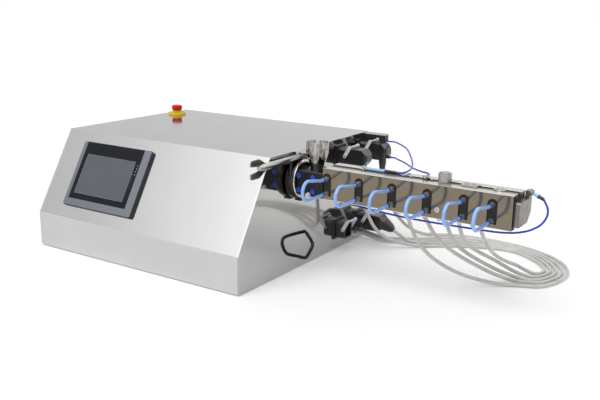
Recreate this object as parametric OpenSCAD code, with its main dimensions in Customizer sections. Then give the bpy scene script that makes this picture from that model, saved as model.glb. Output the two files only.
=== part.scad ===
// Bench-top twin-screw extruder: drive housing on the left, barrel standing out to the right

/* [Housing] */
// Width of the housing from left to right
case_w = 590; // [540:1:700]
// Depth of the housing from front to back
case_d = 527; // [520:1:600]
// Height of the housing above its underside
case_h = 264; // [262:1:300]
// Height of the upright front face
front_h = 80; // [60:1:100]
// Distance that the slope runs back
slope_run = 108; // [90:1:130]
// Thickness of the housing's sheet
sheet_t = 2; // [1.5:0.1:3]
// Height of the rubber feet
foot_h = 3; // [2:0.5:6]
// Diameter of the rubber feet
foot_d = 30; // [20:1:40]

/* [Operator panel] */
// Width of the operator panel
panel_w = 214; // [180:1:230]
// Height of the operator panel along the slope
panel_h = 158; // [130:1:170]
// How far the panel stands out of the slope
panel_proud = 8; // [4:0.5:12]
// Depth of the panel's body behind the slope
panel_depth = 36; // [20:1:50]
// Distance of the panel from the housing's left side
panel_left = 72.5; // [30:0.5:120]
// Distance of the panel up the slope
panel_up = 28.3; // [20:0.1:40]

/* [Emergency stop] */
// Diameter of the red cap
stop_cap_d = 28; // [24:1:36]
// Diameter of the yellow collar
stop_collar_d = 48; // [40:1:60]
// Travel of the cap when it is pressed
stop_travel = 4; // [2:0.5:5]

/* [Screws] */
// How far the screws lie below the top of the housing
screw_drop = 57; // [52:1:64]
// Distance of the screws behind the front face
screw_y = 200; // [190:1:215]
// Outer diameter of each screw
screw_d = 12; // [12:0.1:12.6]
// Distance between the two screws
screw_gap = 10; // [9.8:0.1:10.2]
// Lead of the conveying flights
screw_lead = 24; // [16:1:40]
// Clearance between a screw and its bore
screw_clear = 0.15; // [0.1:0.01:0.3]

/* [Barrel] */
// Length of the barrel from the feed block to the die
barrel_l = 397; // [390:1:420]
// Width of the barrel over its covers
barrel_w = 64; // [60:1:70]
// Height of the barrel over its covers
barrel_h = 65.5; // [62:0.5:70]
// Width of each slot in the cover
slot_w = 19.3; // [14:0.1:24]
// Outer diameter of the cooling hose
loop_d = 7; // [6:0.5:10]
// Thickness of the die plate
die_t = 7; // [5:0.5:12]
// Diameter of the die's orifice
die_orifice_d = 3; // [1:0.5:4]
// Distance between the tapped holes in the die's face
die_hole_gap = 20; // [18:1:24]

/* [Feeding] */
// Diameter of the hopper's rim
hopper_d = 48; // [42:1:60]
// Height of the hopper's rim above the screws
hopper_rise = 83; // [73:1:103]
// Diameter of the hopper's neck
neck_d = 27; // [26:0.5:32]
// Length of the feed block along the barrel
feed_l = 64.4; // [60:0.1:70]

/* [Clamp] */
// Outer diameter of the clamp ring
clamp_d = 88; // [84:1:92]
// Width of the clamp ring along the barrel
clamp_w = 22; // [20:1:24]
// Length of the wing nut
nut_l = 170; // [120:1:180]

/* [Connectors] */
// Width of a connector
plug_w = 36; // [32:1:40]
// Height of a connector
plug_h = 40; // [36:1:42]

/* [Hidden] */
$fn = 48;
// One length serves all cuts that run past a face
over = 1;
// Gap between a piece and its seat
seat = 0.3;
// Running clearance of shafts, pins and slides
run_gap = 0.06;

// Housing
slope_rise = case_h - front_h;
slope_l = sqrt(slope_run * slope_run + slope_rise * slope_rise);
slope_angle = atan2(slope_rise, slope_run);
foot_inset = 34;
foot_dimple_d = 10;
foot_dimple = 1;
back_y = case_d - sheet_t;
screw_z = case_h - screw_drop;
louvre_w = 4;
louvre_l = 120;
louvre_pitch = 12;
louvre_count = 9;
louvre_from_left = 60;
louvre_z = 90;
inlet_w = 48;
inlet_h = 30;
inlet_proud = 4;
inlet_depth = 22;
inlet_recess = 14;
inlet_wall = 4;
inlet_from_left = 480;
inlet_z = 50;
inlet_pin_d = 4;
inlet_pin_gap = 10;
switch_z = 110;
switch_plate_w = 46;
switch_plate_t = 3;
switch_knob_d = 34;
switch_knob_l = 8;
switch_grip_w = 9;
switch_grip_h = 9;
switch_shaft_d = 8;
switch_shaft_l = 12;

// Operator panel
frame_left_w = 12;
frame_right_w = 22;
frame_low_w = 18;
frame_edge = 2.5;
glass_t = 1.6;
glass_gap = 0.2;
display_t = 0.8;
display_from_left = 13;
display_from_right = 15;
display_low = 14;
display_from_top = 31;
display_w = panel_w - frame_left_w - frame_right_w - display_from_left - display_from_right;
display_h = panel_h - frame_low_w - display_low - display_from_top;
panel_body_inset = 12;
panel_corner = 5;

// Emergency stop
stop_from_left = 41;
stop_from_back = 82;
stop_y = case_d - stop_from_back;
stop_flange_h = 6;
stop_flange_taper = 4;
stop_neck_d = 22;
stop_neck_h = 7;
stop_body_d = 21.8;
stop_body_l = 40;
stop_thread_clear = 0.25;
stop_shaft_d = 9;
stop_shaft_top = 16;
stop_cap_h = 14;
stop_skirt = 7.5;
stop_skirt_gap = 1;
stop_grip_d = 3;
stop_grips = 12;

// Drive
gear_module = 0.8;
gear_teeth = 28;
pinion_teeth = 14;
pressure_angle = 20;
tip_share = 0.9;
root_share = 1.25;
tooth_play = 0.14;
gear_w = 12;
spline_sides = 12;
output_r = 3.2;
torque_r = 4;
journal_l = 5;
gear_rise = sqrt(pow(gear_module * (gear_teeth + pinion_teeth) / 2, 2) - pow(screw_gap / 2, 2));
torque_z = screw_z - gear_rise;
gearbox_x0 = -104;
gearbox_x1 = -20;
gearbox_w = 70;
gearbox_above = 30;
gearbox_below = 44;
gearbox_wall = 12;
gear_a_x = -60;
gear_b_x = -84;
sleeve_r = 4.6;
sleeve_x0 = -15;
sleeve_x1 = 13;
socket_l = 15;
shank_r = 2.8;
coupling_r = 15;
coupling_l = 28;
motor_w = 86;
motor_l = 150;
motor_chamfer = 12;
motor_wall = 14;
motor_front_d = 62;
motor_front_l = 18;
rotor_r = 22;
rotor_l = 110;
rotor_end_gap = 6;
motor_shaft_r = 7;
rib_t = 8;
rib_w = 130;
rail_t = 5;
motor_x1 = gearbox_x0 - coupling_l - 10;
motor_x0 = motor_x1 - motor_front_l - motor_l;
control_w = 150;
control_d = 260;
control_h = 96;
control_from_back = 67;
control_y = case_d - control_from_back - control_d;
control_from_left = 40;
fin_t = 2;
fin_gap = 10;
fin_h = 14;

// Screws: a self-wiping profile with two tips
screw_r = screw_d / 2;
wipe_angle = 2 * acos(screw_gap / screw_d);
tip_angle = 90 - wipe_angle;
screw_x0 = 16;
screw_tip_gap = 3;
turn_steps = 9;
knead_disc = 4;
knead_discs = 5;
knead_step = 45;
knead_shares = [0.24, 0.45, 0.64, 0.82];

// Barrel
feed_x = 25.6;
barrel_x0 = feed_x + feed_l;
barrel_x1 = barrel_x0 + barrel_l;
barrel_y0 = screw_y - barrel_w / 2;
barrel_low = 28.5;
barrel_z0 = screw_z - barrel_low;
barrel_z1 = barrel_z0 + barrel_h;
cover_t = 2;
cover_lip = 20;
core_w = 44;
core_z0 = barrel_z0 + cover_t + seat;
core_z1 = barrel_z1 - cover_t - seat;
slot_low = 8;
slot_high = 10;
slot_from_start = [10, 84, 157, 231, 304, 359];
block_w = 25;
port_high = 16;
port_low = 15;
fitting_d = 10.5;
fitting_body_d = 9.8;
fitting_l = 19;
fitting_hex_l = 7;
collet_l = 3.5;
collet_d = 9.4;
loop_rise_angle = 10;
loop_rise_r = 60;
loop_bend_r = 19.5;
loop_straight = 3;
loop_rise_steps = 2;
loop_bend_steps = 13;
loop_sides = 12;

// Pieces on top of the barrel, placed from its start
vent_from_start = 252;
vent_d = 26;
vent_low_d = 20;
vent_low_h = 2.9;
vent_h = 21.8;
vent_ribs = 24;
vent_rib_d = 1.6;
steel_plug_from_start = 253;
steel_plug_d = 11;
steel_plug_proud = 1.5;
steel_plug_z = 10;
gland_d = 9;
post_from_start = 74;
post_d = 8;
post_over = 4.5;
nub_from_start = [164, 181, 226];
nub_d = 7;
nub_h = 5;
boss_from_start = 304;
boss_l = 31;
boss_w = 20;
boss_h = 5;
boss_screw_d = 7;
boss_screw_h = 2.2;
end_boss_from_start = 360;
end_boss_d = 22;
end_boss_h = 4;
end_boss_cap_d = 12;
hex_key_d = 4;

// Die end
insulator_t = 6;
insulator_y0 = barrel_y0 + 4;
insulator_w = barrel_w - 4;
insulator_low = 20;
insulator_high = 26;
spigot_r = 13;
die_x0 = barrel_x1 + insulator_t;
die_x1 = die_x0 + die_t;
die_w = 68;
die_h = 46;
die_low = 20;
die_edge = 2;
die_chamfer = 18;
die_hole_d = 4;
die_hole_l = 5;
melt_cone_d = 16;
probe_y = 222;
probe_block_w = 16;
probe_block_l = 8;
probe_block_h = 14;
probe_body_r = 6;
probe_body_l = 8;
probe_sleeve_r = 3;
probe_sleeve_l = 10;
probe_ring_r = 4;
probe_ring_l = 3;
probe_grip_r = 3.2;
probe_grip_l = 9;
probe_dir = [0.92, 0, -0.39];
top_probe_grip_l = 22;

// Feeding
feed_y0 = barrel_y0;
feed_z0 = barrel_z0;
feed_h = 54.5;
feed_z1 = feed_z0 + feed_h;
feed_chamfer = 3;
flange_r = 36;
flange_t = 6;
flange_neck_r = 28;
flange_x0 = 14;
throat_x = 56;
hopper_top_z = screw_z + hopper_rise;
throat_d = 22;
neck_depth = 6;
hopper_wall = 1.5;
hopper_rim_h = 22;
hopper_foot_h = 3;
feed_plug_d = 10;
feed_plug_proud = 1.5;
feed_plug_depth = 6;
feed_plug_x = [31.4, 66];
feed_plug_z = [-16.4, 13.5];
feed_plug_hex = 5;
cream_plug_d = 9;
cream_plug_l = 7;
cream_plug_x = 56;
cream_plug_low = 23.5;

// Clamp
clamp_x0 = 3;
clamp_rim_r = 39.3;
clamp_bore_r = 30;
clamp_split = 0.4;
clamp_groove_gap = 0.3;
ear_w = 16;
ear_foot_z = 38;
bolt_y = 8;
bolt_z = 46;
bolt_r = 4;
bolt_l = 96;
bolt_eye_r = 7;
bolt_eye_w = 8.6;
pivot_r = 2.5;
ear_front_t = 7.6;
ear_top = 2;
slot_clear = 0.3;
nut_r = 7.5;
nut_start = bolt_y + clamp_split / 2 + ear_front_t + seat;
wing_l = 41;
wing_t = 3;
wing_r = 19;
hinge_drop = 48;
lantern_neck_r = 27;
lantern_bore_r = 11;
lantern_gap = 0.5;

// Connectors: two columns and two rows on the right side panel
plug_from_back = [137, 39];
plug_low = 49;
plug_from_top = 38;
plug_y = [for (d = plug_from_back) case_d - d];
plug_z = [plug_low, case_h - plug_from_top];
plug_flange_w = 44;
plug_flange_h = 48;
plug_flange_t = 4;
plug_l = 28;
plug_wall = 4;
plug_recess = 14;
plug_insert = 6;
plug_pin_d = 2.4;
plug_pin_gap = 7;
plug_corner = 5;
hood_l = 50;
hood_w = 35;
hood_h = 38;
hood_taper = 13;
hood_side_taper = 6;
gland_r = 9;
gland_nut_h = 12;
gland_neck_r = 6.5;
gland_flare = 1.5;
gland_sink = 6;
gland_x = 62;
elbow_dir = [0.9, 0, -0.42];
elbow_l = 40;
elbow_neck_l = 14;
boot_r = 16;
boot_start = 12;
boot_l = 24;
lever_pivot_x = 24.2;
lever_pivot_up = 1.6;
lever_r = 25;
lever_leg_w = 8;
lever_leg_t = 2;
lever_bar_r = 2.4;
lever_pin_r = 2;
lever_angle = 60;
lever_clear = 0.4;
sensor_box_l = 56;
sensor_box_from_back = 16.6;
sensor_box_y0 = case_d - sensor_box_from_back;
sensor_box_w = 16.4;
sensor_box_drop = 21;
sensor_box_z0 = case_h - sensor_box_drop;
sensor_box_h = 20;
sensor_box_corner = 3;

// Cable hook, a bent rod fixed to the right side panel
hook_r = 4;
hook_sides = 10;
hook_steps = 3;
hook_points = [[0, 245, 75], [16, 234, 70], [34, 220, 63], [39, 215, 57], [38, 210, 48], [32, 209, 36],
    [26, 210, 28], [18, 211, 26], [0, 212, 26]];

// Hoses and cables
hose_r = 4;
hose_sides = 8;
cable_r = 2;
cable_sides = 8;
outlet_r = 5;
outlet_z = 170;
outlet_l = 14;
outlet_x = [250, 290, 335, 362, 402];
inlet_fit_r = 5;
cable_gland_r = 4;
hose_1_path = [[62, 488, 178], [70, 520, 90], [112, 592, 10], [215, 650, 1], [350, 653, 1], [462, 602, 1],
    [511, 512, 1], [490, 412, 1], [428, 376, 1], [342, 312, 24], [268, 262, 84], [250, 214, 170]];
hose_2_path = [[14, 506, 14], [62, 513, 4], [132, 562, 1], [222, 633, 1], [350, 641, 1], [452, 591, 1],
    [499, 511, 1], [478, 426, 1], [436, 406, 1], [378, 330, 42], [316, 236, 116], [290, 214, 170]];
hose_3_path = [[14, 488, 14], [62, 492, 4], [135, 540, 1], [228, 612, 1], [350, 629, 1], [443, 582, 1],
    [487, 510, 1], [468, 438, 1], [430, 420, 5], [382, 348, 46], [342, 262, 108], [335, 214, 170]];
hose_4_path = [[100, 488, 36], [134, 506, 10], [180, 552, 1], [250, 596, 1], [350, 617, 1], [434, 573, 1],
    [475, 510, 1], [457, 450, 3], [422, 428, 14], [396, 362, 54], [366, 262, 112], [362, 214, 170]];
hose_5_path = [[62, 390, 178], [66, 402, 105], [90, 442, 35], [155, 504, 3], [245, 572, 1], [350, 605, 1],
    [425, 564, 1], [463, 508, 1], [450, 462, 6], [426, 434, 26], [404, 320, 82], [402, 214, 170]];
cable_1_path = [[56, 517, 246], [95, 492, 250], [150, 430, 252], [200, 350, 250], [234, 285, 248],
    [250, 236, 248], [236, 206, 247]];
cable_2_path = [[82, 488, 214], [112, 464, 217], [160, 405, 224], [215, 330, 232], [262, 268, 242],
    [292, 234, 248], [301, 212, 247]];
cable_3_path = [[525, 222, 233], [532, 222, 221], [535, 221, 207], [529, 220, 192], [508, 217, 174],
    [470, 211, 163], [400, 207, 160], [250, 207, 159], [100, 228, 163], [4, 250, 170]];

cable_1_end = cable_1_path[len(cable_1_path) - 1];
cable_2_end = cable_2_path[len(cable_2_path) - 1];
cable_3_end = cable_3_path[len(cable_3_path) - 1];
die_probe_start = cable_3_path[0] - (probe_sleeve_l + probe_ring_l + probe_grip_l) * unit(probe_dir);

// The origin is under the middle of the machine's box, hoses left out
object_x1 = max(cable_3_path[0].x, die_x1);
object_y1 = case_d + switch_plate_t + switch_knob_l + switch_grip_h;
shift = [(case_w - object_x1) / 2, -object_y1 / 2, foot_h];

// Shapes that repeat

module along_x() {
    rotate([90, 0, 90]) children();
}

module rod_x(r, l) {
    rotate([0, 90, 0]) cylinder(r = r, h = l);
}

module rod_y(r, l) {
    rotate([-90, 0, 0]) cylinder(r = r, h = l);
}

// Round rod from one point toward a direction in the plane of X and Z
module rod_toward(from, dir, r, l) {
    translate(from) rotate([0, atan2(dir.x, dir.z), 0]) cylinder(r = r, h = l);
}

module box_x(x0, x1, y0, y1, z0, z1) {
    translate([x0, y0, z0]) cube([x1 - x0, y1 - y0, z1 - z0]);
}

module rounded_rect(w, h, r) {
    translate([r, 0]) square([w - 2 * r, h]);
    translate([0, r]) square([w, h - 2 * r]);
    for (x = [r, w - r], y = [r, h - r]) translate([x, y]) circle(r = r);
}

module cut_corner_rect(w, h, c) {
    polygon([[c, 0], [w - c, 0], [w, c], [w, h - c], [w - c, h], [c, h], [0, h - c], [0, c]]);
}

// Two bores side by side, as the screws need them
module twin_bore(r, x0, x1) {
    for (side = [-1, 1])
        translate([x0, screw_y + side * screw_gap / 2, screw_z]) rod_x(r, x1 - x0);
}

module on_slope() {
    translate([-case_w, 0, front_h]) rotate([slope_angle, 0, 0]) children();
}

function unit(v) = v / norm(v);

// Direction of a path at each of its points, with both ends given
function heading(p, i, first, last) =
    i == 0 ? unit(first) : i == len(p) - 1 ? unit(last) : unit(unit(p[i + 1] - p[i]) + unit(p[i] - p[i - 1]));

// Side direction at each point, carried along the path so that the tube doesn't twist
function square_to(u, t) = unit(u - (u * t) * t);
function side_dirs(p, i, u, first, last) =
    let (s = square_to(u, heading(p, i, first, last)))
    i == len(p) - 1 ? [s] : concat([s], side_dirs(p, i + 1, s, first, last));

module tube_path(p, r, sides, first, last) {
    start = abs(unit(first).z) < 0.9 ? [0, 0, 1] : [1, 0, 0];
    dirs = side_dirs(p, 0, start, first, last);
    rings = len(p);
    corners = [for (i = [0:rings - 1]) let (t = heading(p, i, first, last), s = dirs[i], n = cross(t, s))
        for (j = [0:sides - 1]) p[i] + r * (cos(360 * j / sides) * s + sin(360 * j / sides) * n)];
    walls = [for (i = [0:rings - 2], j = [0:sides - 1]) let (k = (j + 1) % sides)
        each [[i * sides + j, (i + 1) * sides + j, (i + 1) * sides + k],
            [i * sides + j, (i + 1) * sides + k, i * sides + k]]];
    start_cap = [[for (j = [0:sides - 1]) j]];
    end_cap = [[for (j = [sides - 1:-1:0]) (rings - 1) * sides + j]];
    polyhedron(points = corners, faces = concat(walls, start_cap, end_cap));
}

// Gear outline: involute flanks from the base circle, straight below it
function involute_turn(base, r) = let (a = acos(min(1, base / r))) tan(a) * 180 / PI - a;

module gear_outline(teeth) {
    pitch = gear_module * teeth / 2;
    base = pitch * cos(pressure_angle);
    tip = pitch + tip_share * gear_module;
    root = pitch - root_share * gear_module;
    half_tooth = 90 / teeth - tooth_play / 2 / pitch * 180 / PI;
    flank_base = half_tooth + involute_turn(base, pitch);
    low = max(base, root);
    radii = [root, low, (low + pitch) / 2, pitch, (pitch + tip) / 2, tip];
    offsets = [for (r = radii) flank_base - involute_turn(base, max(r, base))];
    polygon([for (t = [0:teeth - 1]) each concat(
        [for (i = [0:len(radii) - 1]) let (a = 360 * t / teeth - offsets[i]) radii[i] * [cos(a), sin(a)]],
        [for (i = [len(radii) - 1:-1:0]) let (a = 360 * t / teeth + offsets[i]) radii[i] * [cos(a), sin(a)]])]);
}

// Housing

function case_outline(t) = [[t, t], [t, front_h + t * (slope_rise - slope_l) / slope_run],
    [(slope_rise - t + t * slope_l / slope_run) * slope_run / slope_rise, case_h - t], [back_y, case_h - t]];

module base_plate() color("gainsboro") {
    box_x(sheet_t - case_w, -sheet_t, sheet_t, back_y, 0, sheet_t);
}

module housing_shell() color("lightgray") difference() {
    outer = case_outline(0);
    inner = case_outline(sheet_t);
    translate([sheet_t - case_w, 0, 0]) along_x() linear_extrude(case_w - 2 * sheet_t)
        polygon([outer[0], outer[1], outer[2], outer[3], inner[3], inner[2], inner[1], [sheet_t, 0]]);
    inset = panel_body_inset - seat;
    on_slope() translate([panel_left + inset, panel_up + inset, -panel_depth])
        cube([panel_w - 2 * inset, panel_h - 2 * inset, 2 * panel_depth]);
    translate([stop_from_left - case_w, stop_y, case_h - sheet_t - over])
        cylinder(d = stop_body_d + 2 * stop_thread_clear, h = sheet_t + 2 * over);
}

module side_sheet() {
    along_x() linear_extrude(sheet_t)
        polygon([[0, 0], [0, front_h], [slope_run, case_h], [case_d, case_h], [case_d, 0]]);
}

module right_panel() color("silver") difference() {
    translate([-sheet_t, 0, 0]) side_sheet();
    translate([-sheet_t - over, screw_y, screw_z]) rod_x(lantern_neck_r + lantern_gap, sheet_t + 2 * over);
    for (y = plug_y, z = plug_z)
        box_x(-sheet_t - over, over, y - plug_w / 4, y + plug_w / 4, z - plug_h / 4, z + plug_h / 4);
}

module left_panel() color("silver") {
    translate([-case_w, 0, 0]) side_sheet();
}

module rear_panel() color("lightgray") difference() {
    box_x(sheet_t - case_w, -sheet_t, back_y, case_d, 0, case_h);
    for (i = [0:louvre_count - 1])
        translate([louvre_from_left - case_w, back_y - over, louvre_z + i * louvre_pitch])
            cube([louvre_l, sheet_t + 2 * over, louvre_w]);
    translate([inlet_from_left - case_w, back_y - over, inlet_z])
        cube([inlet_w - 2 * inlet_wall + 2 * seat, sheet_t + 2 * over, inlet_h - 2 * inlet_wall + 2 * seat]);
    translate([inlet_from_left - case_w + inlet_w / 2 - inlet_wall, back_y - over, switch_z])
        rod_y(switch_shaft_d / 2 + 2 * seat, sheet_t + 2 * over);
}

module rubber_feet() color("#303030") {
    for (x = [foot_inset - case_w, -foot_inset], y = [foot_inset, case_d - foot_inset])
        translate([x, y, -foot_h]) difference() {
            cylinder(d1 = foot_d - foot_h, d2 = foot_d, h = foot_h);
            translate([0, 0, -over]) cylinder(d = foot_dimple_d, h = over + foot_dimple);
        }
}

// Operator panel, drawn lying on the slope

module panel_frame() color("slategray") on_slope() translate([panel_left, panel_up, 0]) difference() {
    union() {
        translate([0, 0, seat]) linear_extrude(panel_proud - frame_edge - seat)
            rounded_rect(panel_w, panel_h, panel_corner);
        translate([frame_edge / 2, frame_edge / 2, seat]) linear_extrude(panel_proud - seat)
            rounded_rect(panel_w - frame_edge, panel_h - frame_edge, panel_corner);
        translate([panel_body_inset, panel_body_inset, -panel_depth])
            cube([panel_w - 2 * panel_body_inset, panel_h - 2 * panel_body_inset, panel_depth + seat]);
    }
    translate([frame_left_w - glass_gap, frame_low_w - glass_gap, panel_proud - glass_t])
        cube([panel_w - frame_left_w - frame_right_w + 2 * glass_gap, panel_h, glass_t + over]);
}

module panel_glass() color("#14161c") on_slope()
    translate([panel_left + frame_left_w, panel_up + frame_low_w, panel_proud - glass_t]) difference() {
        cube([panel_w - frame_left_w - frame_right_w, panel_h - frame_low_w - frame_edge / 2, glass_t]);
        translate([display_from_left, display_low, glass_t - display_t])
            cube([display_w, display_h, display_t + over]);
    }

module panel_display() color("#6a6f78") on_slope()
    translate([panel_left + frame_left_w + display_from_left + glass_gap,
        panel_up + frame_low_w + display_low + glass_gap, panel_proud - display_t])
        cube([display_w - 2 * glass_gap, display_h - 2 * glass_gap, display_t - glass_gap]);

// Emergency stop

module at_stop() {
    translate([stop_from_left - case_w, stop_y, case_h]) children();
}

module stop_collar() color("gold") at_stop() difference() {
    union() {
        cylinder(d1 = stop_collar_d, d2 = stop_collar_d - stop_flange_taper, h = stop_flange_h);
        cylinder(d = stop_neck_d, h = stop_flange_h + stop_neck_h);
        translate([0, 0, -stop_body_l]) cylinder(d = stop_body_d, h = stop_body_l);
    }
    translate([0, 0, -stop_body_l - over])
        cylinder(d = stop_shaft_d + 2 * run_gap, h = stop_body_l + stop_flange_h + stop_neck_h + 2 * over);
}

module stop_stem() color("dimgray") at_stop() {
    translate([0, 0, -stop_body_l])
        cylinder(d = stop_shaft_d, h = stop_body_l + stop_flange_h + stop_shaft_top);
}

// The cap turns on the stem and its skirt covers the collar's neck
module stop_cap() color("firebrick") at_stop() {
    low = stop_flange_h + stop_travel + stop_skirt_gap;
    socket = stop_flange_h + stop_shaft_top - low + seat;
    difference() {
        translate([0, 0, low]) union() {
            cylinder(d1 = stop_cap_d - stop_grip_d, d2 = stop_cap_d, h = stop_cap_h / 2);
            translate([0, 0, stop_cap_h / 2]) cylinder(d = stop_cap_d, h = stop_cap_h / 4);
            translate([0, 0, stop_cap_h * 3 / 4])
                cylinder(d1 = stop_cap_d, d2 = stop_cap_d - stop_grip_d, h = stop_cap_h / 4);
        }
        translate([0, 0, low - over]) cylinder(d = stop_neck_d + stop_skirt_gap, h = stop_skirt + over);
        translate([0, 0, low - over]) cylinder(d = stop_shaft_d + 2 * run_gap, h = socket + over);
        for (i = [0:stop_grips - 1]) rotate([0, 0, 360 * i / stop_grips])
            translate([(stop_cap_d + stop_grip_d / 2) / 2, 0, low - over])
                cylinder(d = stop_grip_d / 2, h = stop_cap_h + 2 * over);
    }
}

// Mains inlet and main switch on the rear panel

module at_switch() {
    translate([inlet_from_left - case_w + inlet_w / 2 - inlet_wall, case_d, switch_z]) children();
}

module inlet_socket()
    translate([inlet_from_left - case_w - inlet_wall + seat, 0, inlet_z - inlet_wall + seat]) {
    difference() {
        union() {
            translate([0, case_d, 0]) cube([inlet_w, inlet_proud, inlet_h]);
            translate([inlet_wall, back_y - inlet_depth, inlet_wall])
                cube([inlet_w - 2 * inlet_wall, inlet_depth + sheet_t, inlet_h - 2 * inlet_wall]);
        }
        translate([2 * inlet_wall, case_d + inlet_proud - inlet_recess, 2 * inlet_wall])
            cube([inlet_w - 4 * inlet_wall, inlet_recess + over, inlet_h - 4 * inlet_wall]);
    }
    for (i = [-1, 0, 1])
        translate([inlet_w / 2 + i * inlet_pin_gap, case_d + inlet_proud - inlet_recess - over, inlet_h / 2])
            rod_y(inlet_pin_d / 2, inlet_recess);
}

module mains_inlet() color("#202020") {
    inlet_socket();
    at_switch() difference() {
        translate([-switch_plate_w / 2, 0, -switch_plate_w / 2])
            cube([switch_plate_w, switch_plate_t, switch_plate_w]);
        translate([0, -over, 0]) rod_y(switch_shaft_d / 2 + run_gap, switch_plate_t + 2 * over);
    }
}

module main_switch() color("#2a2a2a") at_switch() {
    translate([0, switch_plate_t, 0]) rod_y(switch_knob_d / 2, switch_knob_l);
    translate([-switch_grip_w / 2, switch_plate_t + switch_knob_l, -switch_knob_d / 2 + switch_plate_t])
        cube([switch_grip_w, switch_grip_h, switch_knob_d - 2 * switch_plate_t]);
    translate([0, -switch_shaft_l, 0]) rod_y(switch_shaft_d / 2, switch_shaft_l + switch_plate_t);
}

// Drive

module drive_frame() color("slategray") {
    gearbox_low = torque_z - gearbox_below;
    motor_low = torque_z - motor_w / 2;
    box_x(motor_x0, gearbox_x1, screw_y - rib_w / 2, screw_y + rib_w / 2, sheet_t, sheet_t + rail_t);
    for (x = [gearbox_x0, gearbox_x1 - rib_t])
        box_x(x, x + rib_t, screw_y - gearbox_w / 2, screw_y + gearbox_w / 2, sheet_t + rail_t, gearbox_low);
    for (x = [motor_x0 + rib_t, motor_x1 - motor_front_l - 2 * rib_t])
        box_x(x, x + rib_t, screw_y - motor_w / 2, screw_y + motor_w / 2, sheet_t + rail_t, motor_low);
}

module motor() color("#3a3d42") difference() {
    union() {
        translate([motor_x0, screw_y - motor_w / 2, torque_z - motor_w / 2]) along_x()
            linear_extrude(motor_l) cut_corner_rect(motor_w, motor_w, motor_chamfer);
        translate([motor_x0 + motor_l, screw_y, torque_z]) rod_x(motor_front_d / 2, motor_front_l);
    }
    translate([motor_x0 + motor_wall, screw_y, torque_z]) rod_x(rotor_r + over, rotor_l + 2 * rotor_end_gap);
    translate([motor_x0 + motor_wall, screw_y, torque_z])
        rod_x(motor_shaft_r + run_gap, motor_l + motor_front_l);
}

module motor_rotor() color("peru") {
    translate([motor_x0 + motor_wall + rotor_end_gap, screw_y, torque_z]) rod_x(rotor_r, rotor_l);
    translate([motor_x0 + motor_wall + seat, screw_y, torque_z])
        rod_x(motor_shaft_r, motor_x1 - motor_x0 - motor_wall + coupling_l / 3 - seat);
}

module gearbox_housing() color("gray") difference() {
    box_x(gearbox_x0, gearbox_x1, screw_y - gearbox_w / 2, screw_y + gearbox_w / 2,
        torque_z - gearbox_below, screw_z + gearbox_above);
    box_x(gearbox_x0 + gearbox_wall, gear_a_x + gear_w + gearbox_wall, screw_y - gearbox_w / 2 + gearbox_wall,
        screw_y + gearbox_w / 2 - gearbox_wall, torque_z - gearbox_below + gearbox_wall,
        screw_z + gearbox_above - gearbox_wall);
    twin_bore(output_r + run_gap, gearbox_x0 + gearbox_wall / 2, gearbox_x1 + over);
    translate([gearbox_x0 - over, screw_y, torque_z])
        rod_x(torque_r + run_gap, gear_a_x + gear_w + gearbox_wall + journal_l + seat - gearbox_x0 + over);
}

// Both gears sit on the torque shaft, one for each output shaft
module torque_shaft() color("lightsteelblue") {
    coupling_x = gearbox_x0 - coupling_l - rail_t;
    translate([coupling_x + coupling_l / 2, screw_y, torque_z])
        rotate([0, 90, 0]) cylinder(r = torque_r, $fn = spline_sides,
            h = gear_a_x + gear_w + gearbox_wall + journal_l - coupling_x - coupling_l / 2);
    gear_turn = atan2(screw_gap / 2, gear_rise);
    for (gear = [[gear_a_x, 1], [gear_b_x, -1]])
        translate([gear[0], screw_y, torque_z]) along_x() rotate([0, 0, 90 + gear[1] * gear_turn])
            linear_extrude(gear_w) gear_outline(gear_teeth);
    difference() {
        translate([coupling_x, screw_y, torque_z]) rotate([0, 90, 0])
            cylinder(r = coupling_r, h = coupling_l, $fn = spline_sides);
        translate([coupling_x - over, screw_y, torque_z])
            rotate([0, 90, 0])
                cylinder(r = motor_shaft_r + over, h = coupling_l / 2 + over, $fn = spline_sides);
    }
}

// One output shaft: pinion, splined shaft and the sleeve that takes the screw's shank
module output_shaft(side, gear_x) {
    gear_turn = atan2(screw_gap / 2, gear_rise);
    half_pitch = 180 / pinion_teeth;
    translate([0, screw_y + side * screw_gap / 2, screw_z]) {
        translate([gearbox_x0 + gearbox_wall / 2 + seat, 0, 0]) rotate([0, 90, 0])
            cylinder(r = output_r, h = sleeve_x0 - gearbox_x0 - gearbox_wall / 2, $fn = spline_sides);
        translate([gear_x, 0, 0]) along_x() rotate([0, 0, 270 - side * gear_turn + half_pitch])
            linear_extrude(gear_w) gear_outline(pinion_teeth);
        difference() {
            translate([sleeve_x0, 0, 0]) rotate([0, 90, 0])
                cylinder(r = sleeve_r, h = sleeve_x1 - sleeve_x0, $fn = spline_sides);
            translate([sleeve_x1 - socket_l, 0, 0]) rotate([0, 90, 0])
                cylinder(r = shank_r + run_gap, h = socket_l + over, $fn = spline_sides);
        }
    }
}

module output_shaft_a() color("lightsteelblue") {
    output_shaft(-1, gear_a_x);
}

module output_shaft_b() color("lightsteelblue") {
    output_shaft(1, gear_b_x);
}

// Radius of the wiping flank at an angle from its low end
function flank_r(a) = sqrt(screw_gap * screw_gap - pow(screw_r * sin(a), 2)) - screw_r * cos(a);

// One outline of a screw, with two tips and two roots
module screw_outline() {
    quarter = [[tip_angle / 2, screw_r], [tip_angle / 2 + wipe_angle / 2, flank_r(wipe_angle / 2)],
        [90 - tip_angle / 2, flank_r(0)]];
    lobe = concat(quarter, [for (i = [2:-1:0]) [180 - quarter[i][0], quarter[i][1]]]);
    polygon([for (turn = [0, 180], p = lobe) (p[1] - screw_clear / 2) * [cos(p[0] + turn), sin(p[0] + turn)]]);
}

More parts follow.
